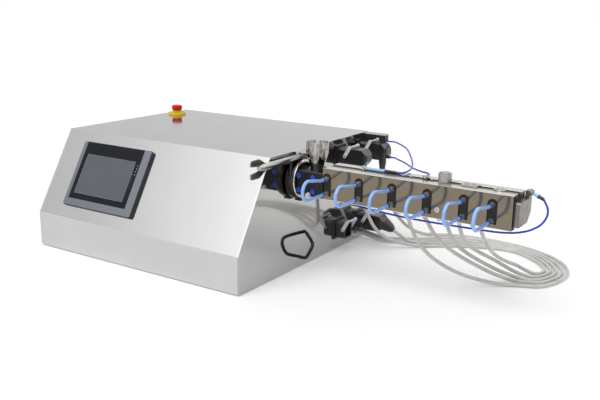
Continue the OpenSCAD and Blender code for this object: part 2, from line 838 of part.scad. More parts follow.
// One screw: conveying flights between kneading blocks of staggered discs
module extruder_screw(side) {
    x1 = barrel_x1 - screw_tip_gap;
    span = x1 - screw_x0;
    block_l = knead_disc * knead_discs;
    starts = concat([0], [for (share = knead_shares) share * span + block_l]);
    ends = concat([for (share = knead_shares) share * span], [span]);
    phase = side > 0 ? 90 : 0;
    translate([screw_x0, screw_y + side * screw_gap / 2, screw_z]) along_x() rotate([0, 0, phase]) {
        for (i = [0:len(starts) - 1]) {
            l = ends[i] - starts[i];
            translate([0, 0, starts[i]]) linear_extrude(l, twist = -360 * l / screw_lead,
                slices = ceil(l / screw_lead * turn_steps), $fn = 3) screw_outline();
        }
        for (share = knead_shares, disc = [0:knead_discs - 1])
            translate([0, 0, share * span + disc * knead_disc]) rotate([0, 0, knead_step * disc])
                linear_extrude(knead_disc) screw_outline();
        translate([0, 0, sleeve_x1 - socket_l + seat - screw_x0])
            cylinder(r = shank_r, h = screw_x0 - sleeve_x1 + socket_l, $fn = spline_sides);
    }
}

module screw_a() color("silver") {
    extruder_screw(-1);
}

module screw_b() color("silver") {
    extruder_screw(1);
}

module controller() color("#c9ccce") {
    x0 = control_from_left - case_w;
    box_x(x0, x0 + control_w, control_y, control_y + control_d, sheet_t, sheet_t + control_h);
    for (y = [control_y + fin_t : fin_gap : control_y + control_d - fin_t])
        box_x(x0, x0 + control_w, y, y + fin_t, sheet_t + control_h, sheet_t + control_h + fin_h);
}

// Clamp between the drive and the barrel

module lantern_flange() color("dimgray") difference() {
    union() {
        translate([gearbox_x1, screw_y, screw_z]) rod_x(lantern_neck_r, flange_x0 - gearbox_x1);
        translate([flange_x0 - flange_t, screw_y, screw_z]) rod_x(flange_r, flange_t);
    }
    translate([gearbox_x1 - over, screw_y, screw_z]) rod_x(lantern_bore_r, flange_x0 - gearbox_x1 + 2 * over);
}

module clamp_ring() {
    x1 = clamp_x0 + clamp_w;
    groove0 = flange_x0 - flange_t - clamp_groove_gap;
    groove1 = flange_x0 + flange_t + clamp_groove_gap;
    groove_r = flange_r + clamp_groove_gap;
    edge = (clamp_d / 2 - clamp_rim_r) / 2;
    translate([0, screw_y, screw_z]) rotate([0, 90, 0]) rotate_extrude() polygon([
        [clamp_bore_r, clamp_x0], [clamp_d / 2 - edge, clamp_x0], [clamp_d / 2, clamp_x0 + edge],
        [clamp_d / 2, clamp_x0 + clamp_w / 2], [clamp_rim_r + edge, x1 - edge], [clamp_rim_r, x1],
        [clamp_rim_r - edge, x1], [clamp_bore_r + edge, groove1 + edge / 2], [clamp_bore_r, groove1],
        [groove_r, groove1], [groove_r, groove0], [clamp_bore_r, groove0]]);
}

// Block that stands on the ring and carries the swing bolt
module ear(y0, y1, top) {
    x0 = clamp_x0 + (clamp_w - ear_w) / 2;
    box_x(x0, x0 + ear_w, screw_y + y0, screw_y + y1, screw_z + ear_foot_z, screw_z + bolt_z + top);
}

module hinge_block(y0, y1) {
    x0 = clamp_x0 + (clamp_w - ear_w) / 2;
    box_x(x0, x0 + ear_w, screw_y + y0, screw_y + y1, screw_z - hinge_drop, screw_z - ear_foot_z);
}

module half_space(side) {
    big = clamp_d;
    translate([-over, side > 0 ? screw_y + clamp_split / 2 : screw_y - clamp_split / 2 - big, screw_z - big])
        cube([clamp_x0 + clamp_w + 2 * over, big, 2 * big]);
}

module clamp_rear() color("#3d3a37") {
    middle = clamp_x0 + clamp_w / 2;
    eye = bolt_eye_w / 2 + slot_clear;
    difference() {
        union() {
            intersection() {
                clamp_ring();
                half_space(1);
            }
            ear(clamp_split / 2, bolt_y + bolt_eye_r, 0);
            translate([middle - ear_w / 2, screw_y + bolt_y, screw_z + bolt_z]) rod_x(bolt_eye_r, ear_w);
            hinge_block(clamp_split / 2, ear_w / 2);
        }
        translate([middle - eye, screw_y - over, screw_z + bolt_z - bolt_eye_r - slot_clear])
            cube([2 * eye, bolt_y + 2 * bolt_eye_r, 3 * bolt_eye_r]);
        translate([middle - ear_w, screw_y + bolt_y, screw_z + bolt_z]) rod_x(pivot_r + run_gap, 2 * ear_w);
    }
}

module clamp_front() color("#3d3a37") {
    middle = clamp_x0 + clamp_w / 2;
    slot = bolt_r + slot_clear;
    difference() {
        union() {
            intersection() {
                clamp_ring();
                half_space(-1);
            }
            ear(-clamp_split / 2 - ear_front_t, -clamp_split / 2, ear_top);
            hinge_block(-ear_w / 2, -clamp_split / 2);
        }
        translate([middle - slot, screw_y - bolt_y - ear_front_t, screw_z + bolt_z - slot])
            cube([2 * slot, bolt_y + ear_front_t, bolt_eye_r * 3]);
        translate([middle, screw_y - clamp_split / 2 - ear_front_t - clamp_d / 2, screw_z + bolt_z])
            rod_y(nut_r + slot_clear, clamp_d / 2);
    }
}

module swing_bolt() color("#8a8680") {
    middle = clamp_x0 + clamp_w / 2;
    translate([middle, screw_y + bolt_y, screw_z + bolt_z]) {
        translate([-bolt_eye_w / 2, 0, 0]) rod_x(bolt_eye_r - slot_clear, bolt_eye_w);
        translate([-ear_w / 2, 0, 0]) rod_x(pivot_r, ear_w);
        rotate([180, 0, 0]) rod_y(bolt_r, bolt_l);
    }
}

module wing_nut() color("#8a8680") {
    middle = clamp_x0 + clamp_w / 2;
    end = nut_start + nut_l;
    translate([middle, screw_y + bolt_y, screw_z + bolt_z]) rotate([90, 0, 0]) {
        difference() {
            union() {
                translate([0, 0, nut_start]) cylinder(r = nut_r, h = nut_l - wing_l);
                translate([0, 0, end - wing_l]) cylinder(r1 = nut_r, r2 = nut_r - wing_t, h = wing_l / 3);
            }
            translate([0, 0, nut_start - over]) cylinder(r = bolt_r + run_gap, h = bolt_l);
        }
        for (turn = [0, 180]) rotate([0, 0, turn]) translate([-wing_t / 2, 0, 0]) rotate([90, 0, 90])
            linear_extrude(wing_t) polygon([[nut_r / 2, end - wing_l * 1.2], [nut_r, end - wing_l * 1.2],
                [wing_r, end - wing_l * 0.7], [wing_r, end - wing_t], [wing_r - wing_t, end],
                [nut_r, end], [nut_r / 2, end - wing_l * 0.7]]);
    }
}

// Feeding

module feed_block() color("#1c1c1e") difference() {
    union() {
        translate([feed_x, feed_y0, feed_z0]) along_x() linear_extrude(feed_l)
            cut_corner_rect(barrel_w, feed_z1 - feed_z0, feed_chamfer);
        translate([flange_x0 + flange_t - over, screw_y, screw_z])
            rod_x(flange_neck_r, feed_x - flange_x0 - flange_t + 2 * over);
        translate([flange_x0, screw_y, screw_z]) rod_x(flange_r, flange_t);
    }
    twin_bore(screw_r + screw_clear, flange_x0 - over, feed_x + feed_l + over);
    translate([throat_x, screw_y, screw_z]) cylinder(d = throat_d, h = feed_z1 - screw_z + over);
    translate([throat_x, screw_y, feed_z1 - neck_depth])
        cylinder(d = neck_d + 4 * run_gap, h = neck_depth + over);
    for (x = feed_plug_x, z = feed_plug_z)
        translate([x, feed_y0 - over, screw_z + z]) rod_y(feed_plug_d / 2 + run_gap, feed_plug_depth + over);
}

module feed_plugs() color("royalblue") {
    for (x = feed_plug_x, z = feed_plug_z) translate([x, feed_y0 - feed_plug_proud, screw_z + z])
        difference() {
            rod_y(feed_plug_d / 2, feed_plug_depth + feed_plug_proud);
            translate([0, -over, 0]) rotate([-90, 0, 0])
                cylinder(d = feed_plug_hex, h = feed_plug_depth / 2 + over, $fn = 6);
        }
}

module hopper() color("lightgray") {
    rim_z = hopper_top_z - hopper_rim_h;
    neck_z = feed_z1 + hopper_foot_h;
    low = feed_z1 - neck_depth;
    outer = hopper_d / 2;
    neck = neck_d / 2;
    inner = neck - 2 * hopper_wall;
    translate([throat_x, screw_y, 0]) rotate_extrude() polygon([
        [neck, low], [neck, neck_z], [outer, rim_z], [outer, hopper_top_z], [outer - hopper_wall, hopper_top_z],
        [outer - hopper_wall, rim_z + hopper_wall / 4], [inner, neck_z + hopper_wall / 4], [inner, low]]);
}

// Barrel

module barrel_core() color("#4a4642") difference() {
    box_x(barrel_x0, barrel_x1, screw_y - core_w / 2, screw_y + core_w / 2, core_z0, core_z1);
    twin_bore(screw_r + screw_clear, barrel_x0 - over, barrel_x1 + over);
}

module cooling_blocks() color("#161616") {
    y1 = screw_y - core_w / 2;
    y0 = barrel_y0 + cover_t + seat;
    for (s = slot_from_start) {
        x0 = max(barrel_x0, barrel_x0 + s - block_w / 2);
        box_x(x0, barrel_x0 + s + block_w / 2, y0, y1, core_z0, core_z1);
    }
}

// One cover: an upright plate with a lip along the top and one along the bottom
module cover_profile() {
    translate([barrel_x0, 0, barrel_z0]) along_x() linear_extrude(barrel_l) polygon([
        [barrel_y0, 0], [barrel_y0 + cover_lip, 0], [barrel_y0 + cover_lip, cover_t],
        [barrel_y0 + cover_t, cover_t],
        [barrel_y0 + cover_t, barrel_h - cover_t], [barrel_y0 + cover_lip, barrel_h - cover_t],
        [barrel_y0 + cover_lip, barrel_h], [barrel_y0, barrel_h]]);
}

module cover_front() color("#9a8c7c") difference() {
    cover_profile();
    for (s = slot_from_start) {
        x = barrel_x0 + s;
        arch_z = barrel_z1 - slot_high - slot_w / 2;
        x0 = s < slot_w ? barrel_x0 - over : x - slot_w / 2;
        box_x(x0, x + slot_w / 2, barrel_y0 - over, barrel_y0 + cover_t + over, barrel_z0 + slot_low, arch_z);
        translate([x, barrel_y0 - over, arch_z]) rod_y(slot_w / 2, cover_t + 2 * over);
    }
    translate([barrel_x0 + steel_plug_from_start, barrel_y0 - over, screw_z - steel_plug_z])
        rod_y(steel_plug_d / 2 + run_gap, cover_t + 2 * over);
}

module cover_rear() color("#9a8c7c") {
    translate([0, 2 * screw_y, 0]) mirror([0, 1, 0]) cover_profile();
}

// Push-in fittings: hexagon, round body and release collar, in pairs at each slot
module push_fitting(bore_r) {
    difference() {
        union() {
            rotate([90, 0, 0]) cylinder(d = fitting_d, h = fitting_hex_l, $fn = 6);
            rotate([90, 0, 0]) cylinder(d = fitting_body_d, h = fitting_l - collet_l);
            rotate([90, 0, 0]) cylinder(d = collet_d, h = fitting_l);
        }
        rotate([90, 0, 0]) translate([0, 0, fitting_hex_l]) cylinder(r = bore_r, h = fitting_l);
    }
}

module push_fittings() color("#b8b09c") {
    for (s = slot_from_start, z = [port_high, -port_low])
        translate([barrel_x0 + s, barrel_y0 + cover_t + seat, screw_z + z])
            push_fitting(loop_d / 2 + run_gap);
}

// Cooling hose from the upper to the lower fitting: a gentle rise, a bend of half a turn, a straight leg
function arc_points(centre, r, from, to, steps) =
    [for (i = [0:steps]) let (a = from + (to - from) * i / steps)
        [0, centre.x + r * cos(a), centre.y + r * sin(a)]];

function loop_path() = let (
    a = loop_rise_angle,
    y_end = barrel_y0 + cover_t - fitting_hex_l,
    y_out = barrel_y0 + cover_t - fitting_l - loop_straight,
    rise_z = loop_rise_r * (1 - cos(a)),
    straight = (loop_bend_r * (1 + cos(a)) - port_high - port_low - rise_z) / sin(a),
    bend_y = y_out - loop_rise_r * sin(a) - straight * cos(a) - loop_bend_r * sin(a),
    bend_z = loop_bend_r - port_high - port_low)
    concat([[0, y_end, 0]], arc_points([y_out, loop_rise_r], loop_rise_r, 270, 270 - a, loop_rise_steps),
        arc_points([bend_y, bend_z], loop_bend_r, 90 - a, 270, loop_bend_steps),
        [[0, y_end, -port_high - port_low]]);

module cooling_loops() color("#9ec0f0") {
    for (s = slot_from_start) translate([barrel_x0 + s, 0, screw_z + port_high])
        tube_path(loop_path(), loop_d / 2, loop_sides, [0, -1, 0], [0, 1, 0]);
}

// Knurled vent plug on top of the core and a round steel plug in the front cover
module barrel_plugs() color("silver") {
    x = barrel_x0 + vent_from_start;
    translate([x, screw_y, core_z1]) {
        cylinder(d = vent_low_d, h = vent_h);
        difference() {
            translate([0, 0, vent_low_h]) cylinder(d = vent_d, h = vent_h - vent_low_h - vent_rib_d);
            for (i = [0:vent_ribs - 1]) rotate([0, 0, 360 * i / vent_ribs])
                translate([vent_d / 2, 0, vent_low_h - over]) cylinder(d = vent_rib_d, h = vent_h);
        }
    }
    translate([barrel_x0 + steel_plug_from_start, barrel_y0 - steel_plug_proud, screw_z - steel_plug_z])
        difference() {
            rod_y(steel_plug_d / 2, steel_plug_proud + cover_t);
            translate([0, -over, 0]) rotate([-90, 0, 0])
                cylinder(d = hex_key_d, h = steel_plug_proud + over, $fn = 6);
        }
}

// Bosses, nubs and the cable gland in the gap between the covers' upper lips
module sensor_bosses() color("silver") {
    for (s = concat(nub_from_start, [post_from_start]))
        translate([barrel_x0 + s, screw_y, core_z1]) cylinder(d = nub_d, h = nub_h);
    translate([barrel_x0 + post_from_start, cable_1_end.y, core_z1])
        cylinder(d = post_d, h = cable_1_end.z + post_over - core_z1);
    boss_x = barrel_x0 + boss_from_start;
    box_x(boss_x - boss_l / 2, boss_x + boss_l / 2, screw_y - boss_w / 2, screw_y + boss_w / 2,
        core_z1, core_z1 + boss_h);
    for (side = [-1, 1]) translate([boss_x + side * boss_l / 4, screw_y, core_z1 + boss_h])
        difference() {
            cylinder(d = boss_screw_d, h = boss_screw_h);
            translate([0, 0, boss_screw_h / 2]) cylinder(d = hex_key_d, h = boss_screw_h, $fn = 6);
        }
    translate([barrel_x0 + end_boss_from_start, screw_y, core_z1]) {
        cylinder(d = end_boss_d, h = end_boss_h);
        cylinder(d = end_boss_cap_d, h = end_boss_h + boss_screw_h);
    }
    translate([cable_2_end.x, screw_y, core_z1])
        cylinder(d = gland_d, h = cable_2_end.z - core_z1 + gland_d / 2);
    translate([cable_2_end.x, screw_y, cable_2_end.z]) rod_y(gland_d / 2 - seat, cable_2_end.y - screw_y);
}

// Sleeve, ring and grip of one probe, drawn from its tip along +Z
module probe(sleeve_l, grip_l) {
    cylinder(r = probe_sleeve_r, h = sleeve_l);
    translate([0, 0, sleeve_l]) cylinder(r = probe_ring_r, h = probe_ring_l);
    translate([0, 0, sleeve_l + probe_ring_l]) cylinder(r = probe_grip_r, h = grip_l);
}

module probe_sleeves() color("#a9c9f2") {
    top_start = barrel_x0 + post_from_start + post_d / 2;
    translate([top_start, cable_1_end.y, cable_1_end.z]) rotate([0, 90, 0])
        probe(cable_1_end.x - top_start - top_probe_grip_l - probe_ring_l, top_probe_grip_l);
    translate(die_probe_start) rotate([0, atan2(probe_dir.x, probe_dir.z), 0])
        probe(probe_sleeve_l, probe_grip_l);
}

// Die end: the die plate's spigot reaches through the insulator to the core
module end_insulator() color("#141414") difference() {
    box_x(barrel_x1, die_x0, insulator_y0, insulator_y0 + insulator_w,
        screw_z - insulator_low, screw_z + insulator_high);
    translate([barrel_x1 - over, screw_y, screw_z]) rod_x(spigot_r + seat, insulator_t + 2 * over);
}

// Die plate with one large chamfer at its lower rear corner
module die_outline() {
    polygon([[die_edge, 0], [die_w - die_chamfer, 0], [die_w, die_chamfer], [die_w, die_h - die_edge],
        [die_w - die_edge, die_h], [die_edge, die_h], [0, die_h - die_edge], [0, die_edge]]);
}

module die_plate() color("silver") difference() {
    union() {
        translate([die_x0, screw_y - die_w / 2, screw_z - die_low]) along_x() linear_extrude(die_t)
            die_outline();
        translate([barrel_x1, screw_y, screw_z]) rod_x(spigot_r, insulator_t + over);
        box_x(die_x0, die_x0 + probe_block_l, probe_y - probe_block_w / 2, probe_y + probe_block_w / 2,
            screw_z - die_low + die_h - over, screw_z - die_low + die_h + probe_block_h);
        rod_toward(die_probe_start - probe_body_l * unit(probe_dir), probe_dir, probe_body_r, probe_body_l);
    }
    twin_bore(screw_r + screw_clear, barrel_x1 - over, die_x0);
    translate([die_x0 - over / 2, screw_y, screw_z]) rotate([0, 90, 0])
        cylinder(d1 = melt_cone_d, d2 = die_orifice_d, h = die_t / 2 + over / 2);
    translate([die_x0, screw_y, screw_z]) rod_x(die_orifice_d / 2, die_t + over);
    for (y = [-1, 1], z = [-1, 1])
        translate([die_x1 - die_hole_l, screw_y + y * die_hole_gap / 2, screw_z + z * die_hole_gap / 2])
            rod_x(die_hole_d / 2, die_hole_l + over);
}

// Connectors on the right side panel

module at_plug(column, row) {
    translate([0, plug_y[column], plug_z[row]]) children();
}

// Block with cut corners, centred on the connector
module plug_block(x0, l, w, h) {
    translate([x0, -w / 2, -h / 2]) along_x() linear_extrude(l) cut_corner_rect(w, h, plug_corner);
}

module connector_base() {
    pin_span = plug_w / 2 + lever_clear + lever_leg_t;
    difference() {
        union() {
            translate([0, -plug_flange_w / 2, -plug_flange_h / 2])
                cube([plug_flange_t, plug_flange_w, plug_flange_h]);
            plug_block(0, plug_l, plug_w, plug_h);
        }
        translate([plug_l - plug_recess, -plug_w / 2 + plug_wall, -plug_h / 2 + plug_wall])
            cube([plug_recess + over, plug_w - 2 * plug_wall, plug_h - 2 * plug_wall]);
    }
    difference() {
        translate([plug_l - plug_recess - over, -plug_w / 2 + 2 * plug_wall, -plug_h / 2 + 2 * plug_wall])
            cube([plug_insert + over, plug_w - 4 * plug_wall, plug_h - 4 * plug_wall]);
        for (y = [-1, 1], z = [-1, 0, 1])
            translate([plug_l - plug_recess, y * plug_pin_gap / 2, z * plug_pin_gap])
            rod_x(plug_pin_d / 2, plug_insert + over);
    }
    for (side = [0, 1]) mirror([0, side, 0])
        translate([lever_pivot_x, -pin_span, lever_pivot_up])
            rod_y(lever_pin_r, pin_span - plug_w / 2 + plug_wall / 2);
}

module connector_bases() color("#1e1f22") {
    for (column = [0, 1], row = [0, 1]) at_plug(column, row) connector_base();
}

// Hood: a tapered block, cut to its side view and its top view
module hood_body() {
    half_h = hood_h / 2;
    half_w = hood_w / 2;
    translate([plug_l + seat, 0, 0]) intersection() {
        translate([0, half_w, 0]) rotate([90, 0, 0]) linear_extrude(hood_w)
            polygon([[0, -half_h], [hood_l - hood_taper, -half_h], [hood_l, hood_taper - half_h],
                [hood_l, half_h - hood_taper], [hood_l - hood_taper, half_h], [0, half_h]]);
        translate([0, 0, -half_h]) linear_extrude(hood_h)
            polygon([[0, -half_w], [hood_l - hood_side_taper, -half_w], [hood_l, hood_side_taper - half_w],
                [hood_l, half_w - hood_side_taper], [hood_l - hood_side_taper, half_w], [0, half_w]]);
    }
}

// Gland of a hood, drawn from its foot along +Z: hexagon nut and round neck
module hood_gland(foot_l, neck_l) {
    cylinder(r = gland_r - seat, h = foot_l);
    translate([0, 0, foot_l]) cylinder(r = gland_r, h = gland_nut_h, $fn = 12);
    translate([0, 0, foot_l + gland_nut_h])
        cylinder(r1 = gland_neck_r + gland_flare, r2 = gland_neck_r, h = neck_l);
}

module connector_hoods() color("#26272b") {
    at_plug(1, 1) hood_body();
    at_plug(0, 1) hood_body();
    at_plug(1, 0) hood_body();
    for (exit = [hose_1_path[0], hose_5_path[0]])
        translate([exit.x, exit.y, plug_z[1] - hood_h / 2 + gland_sink]) rotate([180, 0, 0])
            hood_gland(gland_sink, plug_z[1] - hood_h / 2 - gland_nut_h - exit.z);
    translate(hose_4_path[0] - elbow_l * unit(elbow_dir)) rotate([0, atan2(elbow_dir.x, elbow_dir.z), 0])
        union() {
            hood_gland(elbow_l - gland_nut_h - elbow_neck_l, elbow_neck_l);
            translate([0, 0, boot_start]) cylinder(r1 = boot_r, r2 = gland_r, h = boot_l);
        }
    translate([gland_x, cable_2_path[0].y, cable_2_path[0].z])
        rod_x(cable_gland_r, cable_2_path[0].x - gland_x);
}

// Locking lever: two legs on the base's pins and a bar across
module lever_leg() {
    rotate([90, 0, 0]) linear_extrude(lever_leg_t) rotate([0, 0, lever_angle]) difference() {
        union() {
            circle(d = lever_leg_w);
            translate([0, -lever_leg_w / 2]) square([lever_r, lever_leg_w]);
            translate([lever_r, 0]) circle(d = lever_leg_w);
        }
        circle(r = lever_pin_r + run_gap);
    }
}

module lever(column, row) color("whitesmoke") at_plug(column, row)
    translate([lever_pivot_x, 0, lever_pivot_up]) {
    inside = plug_w / 2 + lever_clear;
    translate([0, -inside, 0]) lever_leg();
    translate([0, inside + lever_leg_t, 0]) lever_leg();
    translate([lever_r * cos(lever_angle), -inside, lever_r * sin(lever_angle)])
        rod_y(lever_bar_r, 2 * inside);
}

module lever_1() {
    lever(0, 0);
}

module lever_2() {
    lever(1, 0);
}

module lever_3() {
    lever(0, 1);
}

module lever_4() {
    lever(1, 1);
}

module sensor_plug() color("#202124") {
    translate([0, sensor_box_y0, sensor_box_z0]) along_x() linear_extrude(sensor_box_l)
        cut_corner_rect(sensor_box_w, sensor_box_h, sensor_box_corner);
}

// Cable hook and hose fittings

// Points on a smooth curve through the points of a path, a few to each stretch
function curve_at(a, b, c, d, t) =
    (2 * b + (c - a) * t + (2 * a - 5 * b + 4 * c - d) * t * t + (3 * b - a - 3 * c + d) * t * t * t) / 2;
function smooth(p, n) = [for (i = [0:len(p) - 2], k = [0:n - 1])
    curve_at(p[max(i - 1, 0)], p[i], p[i + 1], p[min(i + 2, len(p) - 1)], k / n), p[len(p) - 1]];

module cable_hook() color("#1a1a1a") {
    tube_path(smooth(hook_points, hook_steps), hook_r, hook_sides, [1, 0, 0], [-1, 0, 0]);
}

module hose_fittings() color("white") {
    for (x = outlet_x) translate([x, screw_y, outlet_z]) {
        cylinder(r = outlet_r, h = core_z0 - outlet_z);
        sphere(r = outlet_r);
        rod_y(outlet_r, outlet_l);
    }
    for (p = [hose_2_path[0], hose_3_path[0]]) translate([0, p.y, p.z]) {
        rod_x(inlet_fit_r, p.x - collet_l);
        rod_x(inlet_fit_r - seat, p.x);
    }
    translate([0, cable_3_end.y, cable_3_end.z]) rod_x(cable_gland_r, cable_3_end.x);
    translate([cream_plug_x, feed_y0 - cream_plug_l, screw_z - cream_plug_low]) {
        rod_y(cream_plug_d / 2 - over, cream_plug_l);
        translate([0, cream_plug_l / 2, 0]) rod_y(cream_plug_d / 2, cream_plug_l / 2);
    }
}

// Hoses and cables

module hose(path, first, last) color("#b8b6b0") {
    tube_path(path, hose_r, hose_sides, first, last);
}

module hose_1() {
    hose(hose_1_path, [0, 0, -1], [0, -1, 0]);
}

module hose_2() {
    hose(hose_2_path, [1, 0, 0], [0, -1, 0]);
}

module hose_3() {
    hose(hose_3_path, [1, 0, 0], [0, -1, 0]);
}

module hose_4() {
    hose(hose_4_path, elbow_dir, [0, -1, 0]);
}

module hose_5() {
    hose(hose_5_path, [0, 0, -1], [0, -1, 0]);
}

module cable(path, first, last) color("#10207a") {
    tube_path(path, cable_r, cable_sides, first, last);
}

module cable_1() {
    cable(cable_1_path, [1, 0, 0], [-1, 0, 0]);
}

module cable_2() {
    cable(cable_2_path, [1, 0, 0], [0, -1, 0]);
}

module cable_3() {
    cable(cable_3_path, probe_dir, [-1, 0, 0]);
}

// The finished model, moved to its origin
module placed() {
    translate(shift) children();
}

placed() base_plate();
placed() housing_shell();
placed() right_panel();
placed() left_panel();
placed() rear_panel();
placed() rubber_feet();
placed() panel_frame();
placed() panel_glass();
placed() panel_display();
placed() stop_collar();
placed() stop_stem();
placed() stop_cap();
placed() mains_inlet();
placed() main_switch();
placed() drive_frame();
placed() motor();
placed() motor_rotor();
placed() gearbox_housing();
placed() torque_shaft();
placed() output_shaft_a();
placed() output_shaft_b();
placed() screw_a();
placed() screw_b();
placed() controller();
placed() lantern_flange();
placed() clamp_rear();
placed() clamp_front();
placed() swing_bolt();
placed() wing_nut();
placed() feed_block();
placed() feed_plugs();
placed() hopper();
placed() barrel_core();
placed() cooling_blocks();
placed() cover_front();
placed() cover_rear();
placed() push_fittings();
placed() cooling_loops();
placed() barrel_plugs();
placed() sensor_bosses();
placed() probe_sleeves();
placed() end_insulator();
placed() die_plate();
placed() connector_bases();
placed() connector_hoods();
placed() lever_1();
placed() lever_2();
placed() lever_3();
placed() lever_4();
placed() sensor_plug();
placed() cable_hook();
placed() hose_fittings();
placed() hose_1();
placed() hose_2();
placed() hose_3();
placed() hose_4();
placed() hose_5();
placed() cable_1();
placed() cable_2();
placed() cable_3();
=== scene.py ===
import math
import bmesh
import bpy
from mathutils import Matrix, Vector


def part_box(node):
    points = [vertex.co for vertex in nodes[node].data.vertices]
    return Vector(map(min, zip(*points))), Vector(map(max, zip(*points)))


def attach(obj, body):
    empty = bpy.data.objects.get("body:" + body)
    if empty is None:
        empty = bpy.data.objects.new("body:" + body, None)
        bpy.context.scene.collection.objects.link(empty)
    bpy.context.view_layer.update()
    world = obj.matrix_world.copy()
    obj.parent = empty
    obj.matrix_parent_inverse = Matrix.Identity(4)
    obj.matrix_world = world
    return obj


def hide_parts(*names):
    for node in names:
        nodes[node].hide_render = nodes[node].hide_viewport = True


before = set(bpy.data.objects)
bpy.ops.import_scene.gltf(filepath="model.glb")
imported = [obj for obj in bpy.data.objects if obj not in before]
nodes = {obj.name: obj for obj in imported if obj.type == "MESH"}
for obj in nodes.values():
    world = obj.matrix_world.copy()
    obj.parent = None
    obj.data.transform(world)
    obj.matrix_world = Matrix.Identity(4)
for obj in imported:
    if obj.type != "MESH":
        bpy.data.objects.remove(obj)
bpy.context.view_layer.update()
print("frame loaded,", len(nodes), "nodes")

# All places below are in millimetres from the housing's front right corner, as on the drawing.
# The base plate's lowest corner is known in both, and ties the drawing to the frame
baseCorner = (-588, 2, 0)
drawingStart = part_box("base_plate")[0] - Vector(baseCorner) / 1000


def at(x, y, z):
    return drawingStart + Vector((x, y, z)) / 1000


# Camera

cameraSetup = {
    "place": (909.02, -1183.62, 584.08),
    "turnLeft": 32.886,
    "tiltDown": 14.486,
    "roll": 0.891,
    "lens": 47.56,
    "sensor": 36,
    "seesFrom": 0.05,  # in metres, like the next
    "seesTo": 60,
}


def makeCamera(setup):
    turn, tilt, roll = (math.radians(setup[k]) for k in ("turnLeft", "tiltDown", "roll"))
    ahead = Vector((-math.sin(turn) * math.cos(tilt), math.cos(turn) * math.cos(tilt), -math.sin(tilt)))
    right = Vector((math.cos(turn), math.sin(turn), 0))
    up = right.cross(ahead)
    across = right * math.cos(roll) + up * math.sin(roll)
    upright = up * math.cos(roll) - right * math.sin(roll)
    data = bpy.data.cameras.new("productCamera")
    data.lens = setup["lens"]
    data.sensor_width = setup["sensor"]
    data.clip_start, data.clip_end = setup["seesFrom"], setup["seesTo"]
    camera = bpy.data.objects.new("productCamera", data)
    bpy.context.scene.collection.objects.link(camera)
    facing = Matrix((across, upright, -ahead)).transposed().to_4x4()
    camera.matrix_world = Matrix.Translation(at(*setup["place"])) @ facing
    bpy.context.scene.camera = camera


makeCamera(cameraSetup)
print("camera placed")

# Hoses and cables: routes through the same points as the drawing

hoseLook = {"diameter": 8.0, "points": 38, "evened": 2, "stiffness": "medium"}
cableLook = {"diameter": 4.0, "points": 26, "evened": 0, "stiffness": "limp"}
# Each route: the direction at its start, the direction at its end, and the points between
hoseRoutes = {
    "hose_1": ((0, 0, -1), (0, -1, 0), [
        (62, 488, 178), (70, 520, 90), (112, 592, 10), (215, 650, 1), (350, 653, 1), (462, 602, 1),
        (511, 512, 1), (490, 412, 1), (428, 376, 1), (342, 312, 24), (268, 262, 84), (250, 214, 170)]),
    "hose_2": ((1, 0, 0), (0, -1, 0), [
        (14, 506, 14), (62, 513, 4), (132, 562, 1), (222, 633, 1), (350, 641, 1), (452, 591, 1),
        (499, 511, 1), (478, 426, 1), (436, 406, 1), (378, 330, 42), (316, 236, 116), (290, 214, 170)]),
    "hose_3": ((1, 0, 0), (0, -1, 0), [
        (14, 488, 14), (62, 492, 4), (135, 540, 1), (228, 612, 1), (350, 629, 1), (443, 582, 1),
        (487, 510, 1), (468, 438, 1), (430, 420, 5), (382, 348, 46), (342, 262, 108), (335, 214, 170)]),
    "hose_4": ((0.9, 0, -0.42), (0, -1, 0), [
        (100, 488, 36), (134, 506, 10), (180, 552, 1), (250, 596, 1), (350, 617, 1), (434, 573, 1),
        (475, 510, 1), (457, 450, 3), (422, 428, 14), (396, 362, 54), (366, 262, 112), (362, 214, 170)]),
    "hose_5": ((0, 0, -1), (0, -1, 0), [
        (62, 390, 178), (66, 402, 105), (90, 442, 35), (155, 504, 3), (245, 572, 1), (350, 605, 1),
        (425, 564, 1), (463, 508, 1), (450, 462, 6), (426, 434, 26), (404, 320, 82), (402, 214, 170)]),
}
cableRoutes = {
    "cable_1": ((1, 0, 0), (-1, 0, 0), [
        (56, 517, 246), (95, 492, 250), (150, 430, 252), (200, 350, 250),
        (234, 285, 248), (250, 236, 248), (236, 206, 247)]),
    "cable_2": ((1, 0, 0), (0, -1, 0), [
        (82, 488, 214), (112, 464, 217), (160, 405, 224), (215, 330, 232),
        (262, 268, 242), (292, 234, 248), (301, 212, 247)]),
    "cable_3": ((0.92, 0, -0.39), (-1, 0, 0), [
        (525, 222, 233), (532, 222, 221), (535, 221, 207), (529, 220, 192), (508, 217, 174),
        (470, 211, 163), (400, 207, 160), (250, 207, 159), (100, 228, 163), (4, 250, 170)]),
}
routeSetup = {
    "straightShare": 0.3,  # of the first and the last stretch
    "straightMost": 12,
    "steps": 24,  # fine points from one chosen point to the next
    "lowest": 1.0,
    "evenedFrom": 9,  # points from the far end, like the next
    "evenedTo": 2,
}


